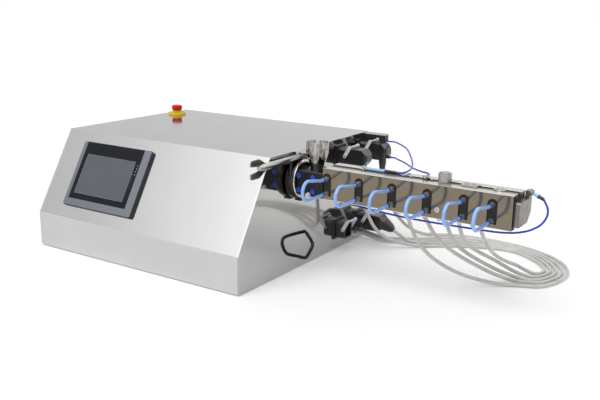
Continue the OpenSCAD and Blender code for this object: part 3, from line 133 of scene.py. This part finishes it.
def smoothRoute(points, first, last, count, evened=0):
    # A curve through the points with straight ends, then evenly spaced points on it.
    # The bend at its far end is evened out as many times as asked
    points = [Vector(p) for p in points]
    lead = routeSetup["straightShare"] * (points[1] - points[0]).length
    tail = routeSetup["straightShare"] * (points[-1] - points[-2]).length
    points.insert(1, points[0] + Vector(first).normalized() * min(lead, routeSetup["straightMost"]))
    points.insert(-1, points[-1] - Vector(last).normalized() * min(tail, routeSetup["straightMost"]))
    fine = []
    for i in range(len(points) - 1):
        a, b, c, d = points[max(i - 1, 0)], points[i], points[i + 1], points[min(i + 2, len(points) - 1)]
        for k in range(routeSetup["steps"]):
            t = k / routeSetup["steps"]
            p = (2 * b + (c - a) * t + (2 * a - 5 * b + 4 * c - d) * t * t
                + (3 * b - a - 3 * c + d) * t ** 3) / 2
            fine.append(Vector((p.x, p.y, max(p.z, routeSetup["lowest"]))))
    fine.append(points[-1])
    along = [0.0]
    for a, b in zip(fine, fine[1:]):
        along.append(along[-1] + (b - a).length)
    even, j = [], 0
    for k in range(count):
        target = along[-1] * k / (count - 1)
        while j < len(along) - 2 and along[j + 1] < target:
            j += 1
        share = (target - along[j]) / max(along[j + 1] - along[j], 1e-9)
        even.append(fine[j].lerp(fine[j + 1], share))
    for _ in range(evened):
        for k in range(count - routeSetup["evenedFrom"], count - routeSetup["evenedTo"]):
            even[k] = (even[k - 1] + 2 * even[k] + even[k + 1]) / 4
    return [at(*p) for p in even]


curveSteps = {"round": 5, "along": 5}


def curvePiece(name, points, diameter, closed=False, flat=False):
    data = bpy.data.curves.new(name, "CURVE")
    data.dimensions = "3D"
    data.bevel_depth = 1.0  # the points' own radius gives the thickness
    data.bevel_resolution = curveSteps["round"]
    data.resolution_u = curveSteps["along"]
    data.use_fill_caps = True
    spline = data.splines.new("BEZIER")
    spline.bezier_points.add(len(points) - 1)
    for knot, p in zip(spline.bezier_points, points):
        knot.co = p
        knot.radius = diameter / 2000
        knot.handle_left_type = knot.handle_right_type = "VECTOR" if flat else "AUTO"
    spline.use_cyclic_u = closed
    piece = bpy.data.objects.new(name, data)
    bpy.context.scene.collection.objects.link(piece)
    return piece


cordPieces = {}
for look, routes in ((hoseLook, hoseRoutes), (cableLook, cableRoutes)):
    for name, (first, last, points) in routes.items():
        route = smoothRoute(points, first, last, look["points"], look["evened"])
        piece = curvePiece(name.replace("_", "Line"), route, look["diameter"])
        bpy.context.view_layer.update()
        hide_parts(name)
        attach(piece, "base")
        cordPieces[name] = piece
print("hoses and cables laid")

# Finishes. Each one is a node material whose grain, tint and gloss vary over the surface

finishSetup = {
    "noiseSpan": (0.3, 0.7),  # most of the noise lies between these
    "steelCloud": 9.0,
    "plasticCloud": 30.0,
    "steelGloss": (0.85, 1.2),  # times the roughness, like the next
    "plasticGloss": (0.85, 1.15),
    "coatRough": 0.12,
    "zoneShades": (0.93, 1.07),  # times the zone's colour
    "zoneRelief": (0.1, 0.01),
}


def startFinish(name, colour, metal, rough):
    finish = bpy.data.materials.new(name)
    finish.use_nodes = True
    shader = finish.node_tree.nodes["Principled BSDF"]
    shader.inputs["Base Color"].default_value = (*colour, 1)
    shader.inputs["Metallic"].default_value = metal
    shader.inputs["Roughness"].default_value = rough
    return finish, finish.node_tree, shader


def grain(tree, scale, stretch=(1, 1, 1), detail=4.0, roughness=0.55):
    # Noise in the object's own space, drawn out along an axis where stretch is small
    place = tree.nodes.new("ShaderNodeTexCoord")
    mapping = tree.nodes.new("ShaderNodeMapping")
    mapping.inputs["Scale"].default_value = stretch
    noise = tree.nodes.new("ShaderNodeTexNoise")
    noise.inputs["Scale"].default_value = scale
    noise.inputs["Detail"].default_value = detail
    noise.inputs["Roughness"].default_value = roughness
    tree.links.new(place.outputs["Object"], mapping.inputs["Vector"])
    tree.links.new(mapping.outputs["Vector"], noise.inputs["Vector"])
    return noise.outputs["Fac"]


def tint(tree, shader, factor, dark, light):
    ramp = tree.nodes.new("ShaderNodeValToRGB")
    for stop, place, colour in zip(ramp.color_ramp.elements, finishSetup["noiseSpan"], (dark, light)):
        stop.position = place
        stop.color = (*colour, 1)
    tree.links.new(factor, ramp.inputs["Fac"])
    if shader is not None:
        tree.links.new(ramp.outputs["Color"], shader.inputs["Base Color"])
    return ramp.outputs["Color"]


def gloss(tree, shader, factor, rough, shares):
    span = tree.nodes.new("ShaderNodeMapRange")
    span.inputs["From Min"].default_value, span.inputs["From Max"].default_value = finishSetup["noiseSpan"]
    for socket, share in zip(("To Min", "To Max"), shares):
        span.inputs[socket].default_value = rough * share
    tree.links.new(factor, span.inputs["Value"])
    tree.links.new(span.outputs["Result"], shader.inputs["Roughness"])


def relief(tree, shader, factor, strength, depth):
    bump = tree.nodes.new("ShaderNodeBump")
    bump.inputs["Strength"].default_value = strength
    bump.inputs["Distance"].default_value = depth / 1000
    tree.links.new(factor, bump.inputs["Height"])
    tree.links.new(bump.outputs["Normal"], shader.inputs["Normal"])


def scaled(colour, share):
    return tuple(min(1.0, c * share) for c in colour)


def steelFinish(name, colour, rough, stretch, scale=220.0, spread=0.05, depth=0.02, strength=0.25,
        streakedSheen=False):
    # Brushed along the axis where stretch is small. Streaked steel takes its tint from the same lines, which
    # paints light and dark reflection streaks along the grain
    finish, tree, shader = startFinish(name, colour, 1.0, rough)
    lines = grain(tree, scale, stretch)
    cloud = lines if streakedSheen else grain(tree, finishSetup["steelCloud"], detail=2.0)
    tint(tree, shader, cloud, scaled(colour, 1 - spread), scaled(colour, 1 + spread))
    gloss(tree, shader, lines, rough, finishSetup["steelGloss"])
    relief(tree, shader, lines, strength, depth)
    return finish


def plasticFinish(name, colour, rough, scale=900.0, spread=0.08, depth=0.03, strength=0.2, coat=0.0,
        shine=0.5):
    finish, tree, shader = startFinish(name, colour, 0.0, rough)
    pores = grain(tree, scale, detail=3.0)
    cloud = grain(tree, finishSetup["plasticCloud"], detail=2.0)
    tint(tree, shader, cloud, scaled(colour, 1 - spread), scaled(colour, 1 + spread))
    gloss(tree, shader, cloud, rough, finishSetup["plasticGloss"])
    relief(tree, shader, pores, strength, depth)
    shader.inputs["Coat Weight"].default_value = coat
    shader.inputs["Coat Roughness"].default_value = finishSetup["coatRough"]
    shader.inputs["Specular IOR Level"].default_value = shine
    return finish


def zoneFinish(name, direction, start, zones, scale=300.0):
    # Bands of finish along a direction: each zone is (end in mm, colour, metal, rough)
    finish, tree, shader = startFinish(name, zones[0][1], zones[0][2], zones[0][3])
    place = tree.nodes.new("ShaderNodeTexCoord")
    away = tree.nodes.new("ShaderNodeVectorMath")
    away.operation = "SUBTRACT"
    away.inputs[1].default_value = at(*start)
    along = tree.nodes.new("ShaderNodeVectorMath")
    along.operation = "DOT_PRODUCT"
    along.inputs[1].default_value = Vector(direction).normalized()
    tree.links.new(place.outputs["Object"], away.inputs[0])
    tree.links.new(away.outputs["Vector"], along.inputs[0])
    speckle = grain(tree, scale)

    def speckled(shade):
        dark, light = (scaled(shade, share) for share in finishSetup["zoneShades"])
        return tint(tree, None, speckle, dark, light)

    colour = speckled(zones[0][1])
    levels = {}
    for (edge, _, oldMetal, oldRough), (_, shade, newMetal, newRough) in zip(zones, zones[1:]):
        past = tree.nodes.new("ShaderNodeMath")
        past.operation = "GREATER_THAN"
        past.inputs[1].default_value = edge / 1000
        tree.links.new(along.outputs["Value"], past.inputs[0])
        mix = tree.nodes.new("ShaderNodeMix")
        mix.data_type = "RGBA"
        tree.links.new(past.outputs["Value"], mix.inputs["Factor"])
        tree.links.new(colour, mix.inputs["A"])
        tree.links.new(speckled(shade), mix.inputs["B"])
        colour = mix.outputs["Result"]
        for socket, old, new in (("Metallic", oldMetal, newMetal), ("Roughness", oldRough, newRough)):
            step = tree.nodes.new("ShaderNodeMix")
            step.inputs["A"].default_value, step.inputs["B"].default_value = old, new
            tree.links.new(past.outputs["Value"], step.inputs["Factor"])
            if socket in levels:
                tree.links.new(levels[socket], step.inputs["A"])
            levels[socket] = step.outputs["Result"]
    tree.links.new(colour, shader.inputs["Base Color"])
    for socket, level in levels.items():
        tree.links.new(level, shader.inputs[socket])
    relief(tree, shader, speckle, *finishSetup["zoneRelief"])
    return finish


# The operator panel's face lies on the slope, which rises 184 mm over 108 mm
panelPlace = {"left": -590, "low": 80, "angle": math.atan2(184, 108)}
panelAxis = (0, -math.sin(panelPlace["angle"]), math.cos(panelPlace["angle"]))

finishes = {
    "housingSheet": steelFinish("housingSheet", (0.55, 0.55, 0.553), 0.11, (0.03, 1, 1), scale=1500.0,
        spread=0.02, depth=0.003, strength=0.12),
    # The polished right side panel has its own grain and gloss, and its colour is set darker than the
    # housing sheet as painted shade
    "sideSheetPaintedShade": steelFinish("sideSheetPaintedShade", (0.46, 0.455, 0.45), 0.07, (1, 0.04, 1), scale=900.0, spread=0.03,
        depth=0.002, strength=0.1),
    "backSheet": steelFinish("backSheet", (0.56, 0.56, 0.565), 0.26, (0.03, 1, 1), scale=1500.0, spread=0.03,
        depth=0.003, strength=0.15),
    "footRubber": plasticFinish("footRubber", (0.02, 0.02, 0.02), 0.8, depth=0.05),
    "frontGlass": plasticFinish("frontGlass", (0.007, 0.008, 0.012), 0.09, spread=0.1, depth=0.001,
        strength=0.05, shine=0.15),
    "screenGlass": plasticFinish("screenGlass", (0.10, 0.108, 0.128), 0.16, spread=0.04, depth=0.001,
        strength=0.05, shine=0.2),
    "screenLine": plasticFinish("screenLine", (0.30, 0.32, 0.36), 0.3, spread=0.05),
    "stopYellow": plasticFinish("stopYellow", (0.62, 0.44, 0.004), 0.35, shine=0.3),
    "stopRed": plasticFinish("stopRed", (0.50, 0.006, 0.003), 0.35, depth=0.01, shine=0.25),
    "blackMoulded": plasticFinish("blackMoulded", (0.014, 0.014, 0.016), 0.3, depth=0.04, strength=0.3,
        coat=0.15),
    "blackSatin": plasticFinish("blackSatin", (0.006, 0.006, 0.007), 0.28, depth=0.02, shine=0.3),
    "machineGrey": plasticFinish("machineGrey", (0.17, 0.19, 0.22), 0.45, scale=400.0, depth=0.08),
    "motorPaint": plasticFinish("motorPaint", (0.045, 0.05, 0.06), 0.4, scale=300.0, depth=0.08),
    "controlBox": plasticFinish("controlBox", (0.5, 0.51, 0.52), 0.4, scale=400.0, depth=0.05),
    "shaftSteel": steelFinish("shaftSteel", (0.55, 0.55, 0.56), 0.22, (0.3, 1, 1), depth=0.01),
    "rotorCopper": steelFinish("rotorCopper", (0.6, 0.32, 0.18), 0.3, (0.1, 1, 1), depth=0.03),
    "burnished": steelFinish("burnished", (0.10, 0.092, 0.085), 0.2, (0.15, 1, 1), spread=0.12, depth=0.01),
    # The nut sleeve's strong light and dark tint streaks are painted reflections along its brushed grain
    "nutSteel": steelFinish("nutSteel", (0.40, 0.385, 0.36), 0.18, (1, 0.04, 1), scale=300.0, spread=0.45,
        depth=0.01, streakedSheen=True),
    "coreSteel": steelFinish("coreSteel", (0.20, 0.18, 0.16), 0.3, (0.1, 1, 1), spread=0.12),
    # The hopper's strong light and dark tint streaks are painted reflections along its brushed grain
    "hopperSteel": steelFinish("hopperSteel", (0.33, 0.315, 0.29), 0.14, (1, 1, 0.02), scale=240.0,
        spread=0.6, depth=0.006, streakedSheen=True),
    "dieSteel": steelFinish("dieSteel", (0.19, 0.178, 0.162), 0.3, (1, 0.3, 0.3), scale=400.0, spread=0.14,
        depth=0.01),
    "bossSteel": steelFinish("bossSteel", (0.45, 0.44, 0.42), 0.22, (1, 1, 1), scale=300.0, spread=0.1),
    "leverSteel": plasticFinish("leverSteel", (0.66, 0.67, 0.69), 0.25, depth=0.008, coat=0.4),
    "plugBlue": plasticFinish("plugBlue", (0.012, 0.06, 0.55), 0.3, coat=0.2),
    "loopBlue": plasticFinish("loopBlue", (0.27, 0.43, 0.80), 0.2, scale=300.0, depth=0.01, coat=0.4),
    "hoseWhite": plasticFinish("hoseWhite", (0.54, 0.53, 0.505), 0.2, scale=160.0, spread=0.1, depth=0.02,
        coat=0.4),
    "fittingWhite": plasticFinish("fittingWhite", (0.62, 0.61, 0.57), 0.35),
    "cableBlue": plasticFinish("cableBlue", (0.006, 0.035, 0.52), 0.28, scale=500.0, depth=0.01, coat=0.15),
    "screwBlack": plasticFinish("screwBlack", (0.012, 0.012, 0.013), 0.3, depth=0.01, coat=0.2),
    "screwBright": steelFinish("screwBright", (0.62, 0.61, 0.59), 0.22, (1, 1, 1), scale=600.0, spread=0.1),
    "lampWhite": plasticFinish("lampWhite", (0.24, 0.30, 0.42), 0.2, depth=0.005),
}
# The loops' tube lets some light through
loopTube = {"Subsurface Weight": 1.0, "Subsurface Radius": (0.4, 0.7, 1.0), "Subsurface Scale": 0.012}
for socket, value in loopTube.items():
    finishes["loopBlue"].node_tree.nodes["Principled BSDF"].inputs[socket].default_value = value
# The covers' bottom band below 0.9 mm and their top lip past 65.1 mm are lighter than the brown body as
# painted highlights
finishes["coverSteelPaintedLips"] = zoneFinish("coverSteelPaintedLips", (0, 0, 1), (0, 0, 178.5),
    [(0.9, (0.80, 0.78, 0.74), 0.7, 0.3), (65.1, (0.200, 0.168, 0.124), 0.75, 0.09),
     (90, (0.66, 0.64, 0.60), 1.0, 0.2)])
finishes["fittingNickel"] = zoneFinish("fittingNickel", (0, -1, 0), (0, 170.3, 0),
    [(7.0, (0.62, 0.58, 0.50), 0.8, 0.24), (15.5, (0.74, 0.70, 0.62), 0.8, 0.2),
     (30, (0.010, 0.05, 0.36), 0.0, 0.3)])
# The clamp halves are dark steel; their +X end past 23.2 mm is lighter as a painted highlight on the rim
finishes["clampRingPaintedRim"] = zoneFinish("clampRingPaintedRim", (1, 0, 0), (0, 0, 0),
    [(23.2, (0.040, 0.036, 0.032), 1.0, 0.16), (40, (0.55, 0.53, 0.50), 1.0, 0.2)])
finishes["probeBands"] = zoneFinish("probeBands", (0.92, 0, -0.39), (504.75, 222, 241.6),
    [(-272.4, (0.36, 0.55, 0.84), 0.0, 0.25), (-269.6, (0.012, 0.05, 0.42), 0.0, 0.3),
     (-200, (0.012, 0.012, 0.014), 0.0, 0.35), (10, (0.36, 0.55, 0.84), 0.0, 0.25),
     (13, (0.012, 0.05, 0.42), 0.0, 0.3), (40, (0.012, 0.012, 0.014), 0.0, 0.35)])
# The frame's sides, up to 6.2 mm off the slope, are near black as painted shade; the face above has the
# frame's own grey
finishes["panelMetalPaintedShade"] = zoneFinish("panelMetalPaintedShade", panelAxis, (panelPlace["left"], 0, panelPlace["low"]),
    [(6.2, (0.030, 0.031, 0.035), 0.6, 0.35), (20, (0.165, 0.175, 0.20), 1.0, 0.36)])
finishes["sensorBox"] = zoneFinish("sensorBox", (0, 0, 1), (0, 0, 243),
    [(16.5, (0.016, 0.016, 0.018), 0.0, 0.4), (30, (0.40, 0.41, 0.43), 0.0, 0.45)])

nodeFinishes = {
    "housingSheet": ["housing_shell"],
    "sideSheetPaintedShade": ["right_panel"],
    "backSheet": ["left_panel", "rear_panel", "base_plate"],
    "footRubber": ["rubber_feet"],
    "panelMetalPaintedShade": ["panel_frame"],
    "frontGlass": ["panel_glass"],
    "screenGlass": ["panel_display"],
    "stopYellow": ["stop_collar"],
    "blackMoulded": ["stop_stem", "mains_inlet", "main_switch", "connector_bases", "connector_hoods",
        "end_insulator"],
    "blackSatin": ["feed_block", "cooling_blocks", "cable_hook", "lantern_flange"],
    "machineGrey": ["drive_frame", "gearbox_housing"],
    "motorPaint": ["motor"],
    "controlBox": ["controller"],
    "shaftSteel": ["torque_shaft", "output_shaft_a", "output_shaft_b", "screw_a", "screw_b"],
    "rotorCopper": ["motor_rotor"],
    "burnished": ["swing_bolt"],
    "clampRingPaintedRim": ["clamp_rear", "clamp_front"],
    "nutSteel": ["wing_nut"],
    "coreSteel": ["barrel_core"],
    "hopperSteel": ["hopper"],
    "dieSteel": ["die_plate"],
    "bossSteel": ["sensor_bosses", "barrel_plugs"],
    "leverSteel": ["lever_1", "lever_2", "lever_3", "lever_4"],
    "plugBlue": ["feed_plugs"],
    "loopBlue": ["cooling_loops"],
    "probeBands": ["probe_sleeves"],
    "fittingWhite": ["hose_fittings"],
    "coverSteelPaintedLips": ["cover_front", "cover_rear"],
    "fittingNickel": ["push_fittings"],
    "sensorBox": ["sensor_plug"],
}


def paint(piece, finish):
    piece.data.materials.clear()
    piece.data.materials.append(finishes[finish])


for finish, names in nodeFinishes.items():
    for name in names:
        paint(nodes[name], finish)
for name, piece in cordPieces.items():
    paint(piece, "hoseWhite" if name.startswith("hose") else "cableBlue")
print("finishes assigned")

# Turned pieces: the stop's cap, screws and the panel's small lamps


sharpAngle = 32  # in degrees, past which a turned piece has a hard edge


def turnedPiece(name, body, finish, profile, places, sides=32, shape=None):
    # Turns a profile of (radius, height) in mm round the axis at each place.
    # shape(row, angle) scales the radius
    mesh = bmesh.new()
    for centre, axis in places:
        turn = Vector(axis).to_track_quat("Z", "X")
        rings = []
        for row, (radius, height) in enumerate(profile):
            count = sides if radius else 1
            ring = []
            for k in range(count):
                angle = 2 * math.pi * k / sides
                reach = radius * (shape(row, angle) if shape else 1)
                offset = Vector((reach * math.cos(angle), reach * math.sin(angle), height))
                ring.append(mesh.verts.new(at(*centre) + turn @ offset / 1000))
            rings.append(ring)
        for low, high in zip(rings, rings[1:]):
            for k in range(sides):
                corners = [low[k % len(low)], low[(k + 1) % len(low)],
                    high[(k + 1) % len(high)], high[k % len(high)]]
                mesh.faces.new(list(dict.fromkeys(corners)))
    bmesh.ops.recalc_face_normals(mesh, faces=mesh.faces)
    data = bpy.data.meshes.new(name)
    mesh.to_mesh(data)
    mesh.free()
    data.shade_smooth()
    data.set_sharp_from_angle(angle=math.radians(sharpAngle))
    piece = bpy.data.objects.new(name, data)
    bpy.context.scene.collection.objects.link(piece)
    paint(piece, finish)
    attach(piece, body)
    return piece


stopCap = {
    "place": (-549, 445, 275),
    "grips": 12,
    "gripDepth": 0.07,  # as a share of the radius
    "gripRows": (3, 9),
    "sides": 144,
    "profile": [(0, 6.6), (11.5, 6.6), (11.5, 0), (12.3, 0), (12.7, 1.2), (13.3, 4.0), (13.9, 7.0),
        (14.0, 9.6), (13.6, 11.5), (12.4, 12.9), (9.6, 13.7), (5.0, 13.95), (0, 14.0)],
}


def gripShape(row, angle):
    # Shallow hollows all round the cap's edge, none on its top or inside
    first, last = stopCap["gripRows"]
    if row < first or row > last:
        return 1
    return 1 - stopCap["gripDepth"] * max(0, math.cos(angle * stopCap["grips"])) ** 2


capPiece = turnedPiece("stopCapRound", "stop_turn", "stopRed", stopCap["profile"],
    [(stopCap["place"], (0, 0, 1))], sides=stopCap["sides"], shape=gripShape)
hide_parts("stop_cap")

screwLook = {"hollowFloor": 0.35, "chamfer": 0.4}  # the floor as a share of the head's height


def socketScrew(diameter, height, key):
    # Cap screw with a hollow for the key: profile and the shape that makes the hollow six-sided
    r = diameter / 2
    floor = height * screwLook["hollowFloor"]
    edge = screwLook["chamfer"]
    profile = [(0, floor), (key / 2, floor), (key / 2, height), (r - edge, height), (r, height - edge),
        (r, 0), (0, 0)]

    def hexagon(row, angle):
        return math.cos(math.pi / 6) / math.cos(angle % (math.pi / 3) - math.pi / 6) if row in (1, 2) else 1

    return profile, hexagon


# Each set: body, slot, finish, the head's (diameter, height, key), and (place, direction) of each screw
screwSets = {
    "barrelScrew": ("base", "clamp_steel", "screwBlack", (9, 5, 5), [((489, 200, 239.2), (0, 0, 1))]),
    "backScrews": ("base", "hopper_steel", "screwBright", (6, 1.6, 3), [((x, 527, z), (0, 1, 0))
        for x in (-580, -295, -10) for z in (10, 254)]),
    "underScrews": ("base", "hopper_steel", "screwBright", (6, 1.2, 3), [((x, y, 0), (0, 0, -1))
        for x in (-540, -295, -50) for y in (20, 505)]),
}
for name, (body, slot, finish, (diameter, height, key), places) in screwSets.items():
    profile, hexagon = socketScrew(diameter, height, key)
    turnedPiece(name, body, finish, profile, places, shape=hexagon)

# Operator panel: a line round the display and small lamps beside it


def onPanel(across, up, out):
    rise = panelPlace["angle"]
    return (panelPlace["left"] + across, up * math.cos(rise) - out * math.sin(rise),
        panelPlace["low"] + up * math.sin(rise) + out * math.cos(rise))


screenLine = {"from": (97.5, 60.3), "to": (249.5, 155.3), "height": 7.95, "diameter": 0.7}
(left, low), (right, high) = screenLine["from"], screenLine["to"]
corners = [at(*onPanel(x, y, screenLine["height"]))
    for x, y in ((left, low), (right, low), (right, high), (left, high))]
linePiece = curvePiece("screenLine", corners, screenLine["diameter"], closed=True, flat=True)
paint(linePiece, "screenLine")
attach(linePiece, "base")
panelLamps = {
    "across": 259,
    "heights": (126, 133, 140, 147),
    "out": 8.0,
    "sides": 24,
    "profile": [(0, -0.3), (1.5, -0.3), (1.5, 0.1), (1.2, 0.4), (0.6, 0.6), (0, 0.65)],
}
lampPlaces = [(onPanel(panelLamps["across"], up, panelLamps["out"]), panelAxis)
    for up in panelLamps["heights"]]
turnedPiece("panelLamps", "base", "lampWhite", panelLamps["profile"], lampPlaces,
    sides=panelLamps["sides"])

# Ribs on the rubber boot of the lower hood's elbow

boot = {
    "start": (64, 488, 52.8),
    "axis": (0.9, 0, -0.42),
    "along": (14, 18.5, 23, 27.5, 32),
    "diameter": 2.2,
    "wide": 16,  # the boot's radius where its cone starts
    "narrows": 7,  # by how much it has shrunk at the cone's end
    "coneStart": 12,
    "coneLength": 24,
    "points": 20,
}


def bootRing(along):
    turn = Vector(boot["axis"]).to_track_quat("Z", "X")
    radius = boot["wide"] - boot["narrows"] * (along - boot["coneStart"]) / boot["coneLength"]
    centre = Vector(boot["start"]) + Vector(boot["axis"]).normalized() * along
    points = [centre + turn @ Vector((radius * math.cos(a), radius * math.sin(a), 0))
        for a in (2 * math.pi * k / boot["points"] for k in range(boot["points"]))]
    return [at(*p) for p in points]


for number, along in enumerate(boot["along"], 1):
    rib = curvePiece("bootRib" + str(number), bootRing(along), boot["diameter"], closed=True)
    paint(rib, "blackMoulded")
    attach(rib, "base")
print("small pieces added")

# Softened edges on the carried-over solids, in millimetres

edgeSoftness = {
    "housing_shell": 0.8, "right_panel": 0.5, "left_panel": 0.5, "panel_frame": 0.6,
    "panel_glass": 0.2, "stop_collar": 0.6, "mains_inlet": 0.6, "main_switch": 0.8, "controller": 0.8,
    "clamp_front": 0.6, "clamp_rear": 0.6, "swing_bolt": 0.3, "wing_nut": 0.5, "feed_block": 0.5,
    "hopper": 0.3, "cover_front": 0.35, "cover_rear": 0.35, "end_insulator": 0.4, "die_plate": 0.4,
    "connector_bases": 0.5, "connector_hoods": 0.9, "sensor_plug": 0.5, "sensor_bosses": 0.3,
    "lever_1": 0.35, "lever_2": 0.35, "lever_3": 0.35, "lever_4": 0.35, "rubber_feet": 0.5,
}


edgeSetup = {"weldReach": 0.00001, "segments": 2, "leastAngle": 38, "tubeLevels": 2}  # the reach in metres


def weldCorners(piece):
    weld = piece.modifiers.new("weldCorners", "WELD")
    weld.merge_threshold = edgeSetup["weldReach"]


def soften(piece, width):
    weldCorners(piece)
    bevel = piece.modifiers.new("softEdges", "BEVEL")
    bevel.width = width / 1000
    bevel.segments = edgeSetup["segments"]
    bevel.limit_method = "ANGLE"
    bevel.angle_limit = math.radians(edgeSetup["leastAngle"])
    bevel.harden_normals = True


def roundTube(piece):
    weldCorners(piece)
    smooth = piece.modifiers.new("roundTube", "SUBSURF")
    smooth.levels = smooth.render_levels = edgeSetup["tubeLevels"]


for name, width in edgeSoftness.items():
    soften(nodes[name], width)
for name in ("cooling_loops", "cable_hook"):
    roundTube(nodes[name])
print("edges softened")

# Floor, world and lamps

studio = {
    "floorColour": (0.93, 0.93, 0.93),
    "floorShade": 0.995,  # the darker of the floor's two tones, as a share
    "floorRough": 0.7,
    "floorGrain": 2.0,
    "floorSize": 40,  # in metres
    "floorGlow": 0.13,
    "sunStrength": 1.45,
    "sunFrom": (-0.10, -0.60, 0.80),
    "sunAngle": 50,
    "skyStrength": 0.62,
    "roomLeft": (-0.8, -0.35, 0.85, 1.05),  # from and to along X, then the shade at each
    "roomBack": (0.1, 0.7, 1.0, 0.80),  # the same along Y
    "windowSide": (-0.73, -0.56, 0.0, 0.68),  # along X
    "windowHeight": (0.33, 0.45, 0.0, 1.0),  # along Z
}


def seenRays(tree):
    # 1 for what the camera, a gloss or a glass sees, 0 for light that falls on things
    path = tree.nodes.new("ShaderNodeLightPath")
    total = path.outputs["Is Camera Ray"]
    for kind in ("Is Glossy Ray", "Is Transmission Ray"):
        top = tree.nodes.new("ShaderNodeMath")
        top.operation = "MAXIMUM"
        tree.links.new(total, top.inputs[0])
        tree.links.new(path.outputs[kind], top.inputs[1])
        total = top.outputs["Value"]
    return total


def wallShade(tree, setup):
    # White for the camera. Gloss sees a room that is darker behind and on the left, with a soft window
    place = tree.nodes.new("ShaderNodeTexCoord")
    parts = tree.nodes.new("ShaderNodeSeparateXYZ")
    tree.links.new(place.outputs["Generated"], parts.inputs["Vector"])

    def ramp(axis, name):
        span = tree.nodes.new("ShaderNodeMapRange")
        for socket, value in zip(("From Min", "From Max", "To Min", "To Max"), setup[name]):
            span.inputs[socket].default_value = value
        tree.links.new(parts.outputs[axis], span.inputs["Value"])
        return span.outputs["Result"]

    def join(kind, a, b):
        joined = tree.nodes.new("ShaderNodeMath")
        joined.operation = kind
        tree.links.new(a, joined.inputs[0])
        tree.links.new(b, joined.inputs[1])
        return joined.outputs["Value"]

    room = join("MULTIPLY", ramp("X", "roomLeft"), ramp("Y", "roomBack"))
    window = join("MULTIPLY", ramp("X", "windowSide"), ramp("Z", "windowHeight"))
    path = tree.nodes.new("ShaderNodeLightPath")
    shade = join("ADD", room, window)
    seenWhite = tree.nodes.new("ShaderNodeMix")
    tree.links.new(path.outputs["Is Camera Ray"], seenWhite.inputs["Factor"])
    tree.links.new(shade, seenWhite.inputs["A"])
    seenWhite.inputs["B"].default_value = 1.0
    return seenWhite.outputs["Result"]


def makeFloor(setup):
    bpy.ops.mesh.primitive_plane_add(size=setup["floorSize"], location=(0, 0, 0))
    floor = bpy.context.object
    floor.name = "studioFloor"
    finish, tree, shader = startFinish("studioFloor", setup["floorColour"], 0.0, setup["floorRough"])
    darker = scaled(setup["floorColour"], setup["floorShade"])
    tint(tree, shader, grain(tree, setup["floorGrain"]), darker, setup["floorColour"])
    glow = tree.nodes.new("ShaderNodeEmission")
    glow.inputs["Color"].default_value = (1, 1, 1, 1)
    lift = tree.nodes.new("ShaderNodeMath")
    lift.operation = "MULTIPLY"
    lift.inputs[1].default_value = setup["floorGlow"]
    tree.links.new(seenRays(tree), lift.inputs[0])
    tree.links.new(lift.outputs["Value"], glow.inputs["Strength"])
    both = tree.nodes.new("ShaderNodeAddShader")
    tree.links.new(shader.outputs["BSDF"], both.inputs[0])
    tree.links.new(glow.outputs["Emission"], both.inputs[1])
    tree.links.new(both.outputs["Shader"], tree.nodes["Material Output"].inputs["Surface"])
    floor.data.materials.append(finish)


def makeSun(setup):
    lamp = bpy.data.lights.new("studioSun", "SUN")
    lamp.energy = setup["sunStrength"]
    lamp.angle = math.radians(setup["sunAngle"])
    sun = bpy.data.objects.new("studioSun", lamp)
    bpy.context.scene.collection.objects.link(sun)
    sun.rotation_mode = "QUATERNION"
    sun.rotation_quaternion = Vector(setup["sunFrom"]).to_track_quat("Z", "Y")


def makeWorld(setup):
    world = bpy.data.worlds.new("studioWorld")
    bpy.context.scene.world = world
    world.use_nodes = True
    tree = world.node_tree
    sky = tree.nodes["Background"]
    sky.inputs["Color"].default_value = (1, 1, 1, 1)
    sky.inputs["Strength"].default_value = setup["skyStrength"]
    seen = tree.nodes.new("ShaderNodeBackground")
    seen.inputs["Strength"].default_value = 1.0
    tree.links.new(wallShade(tree, setup), seen.inputs["Color"])
    mix = tree.nodes.new("ShaderNodeMixShader")
    tree.links.new(seenRays(tree), mix.inputs["Fac"])
    tree.links.new(sky.outputs["Background"], mix.inputs[1])
    tree.links.new(seen.outputs["Background"], mix.inputs[2])
    tree.links.new(mix.outputs["Shader"], tree.nodes["World Output"].inputs["Surface"])


makeFloor(studio)
makeSun(studio)
makeWorld(studio)
bpy.context.scene.view_settings.view_transform = "Standard"
print("studio ready")

bpy.context.view_layer.update()
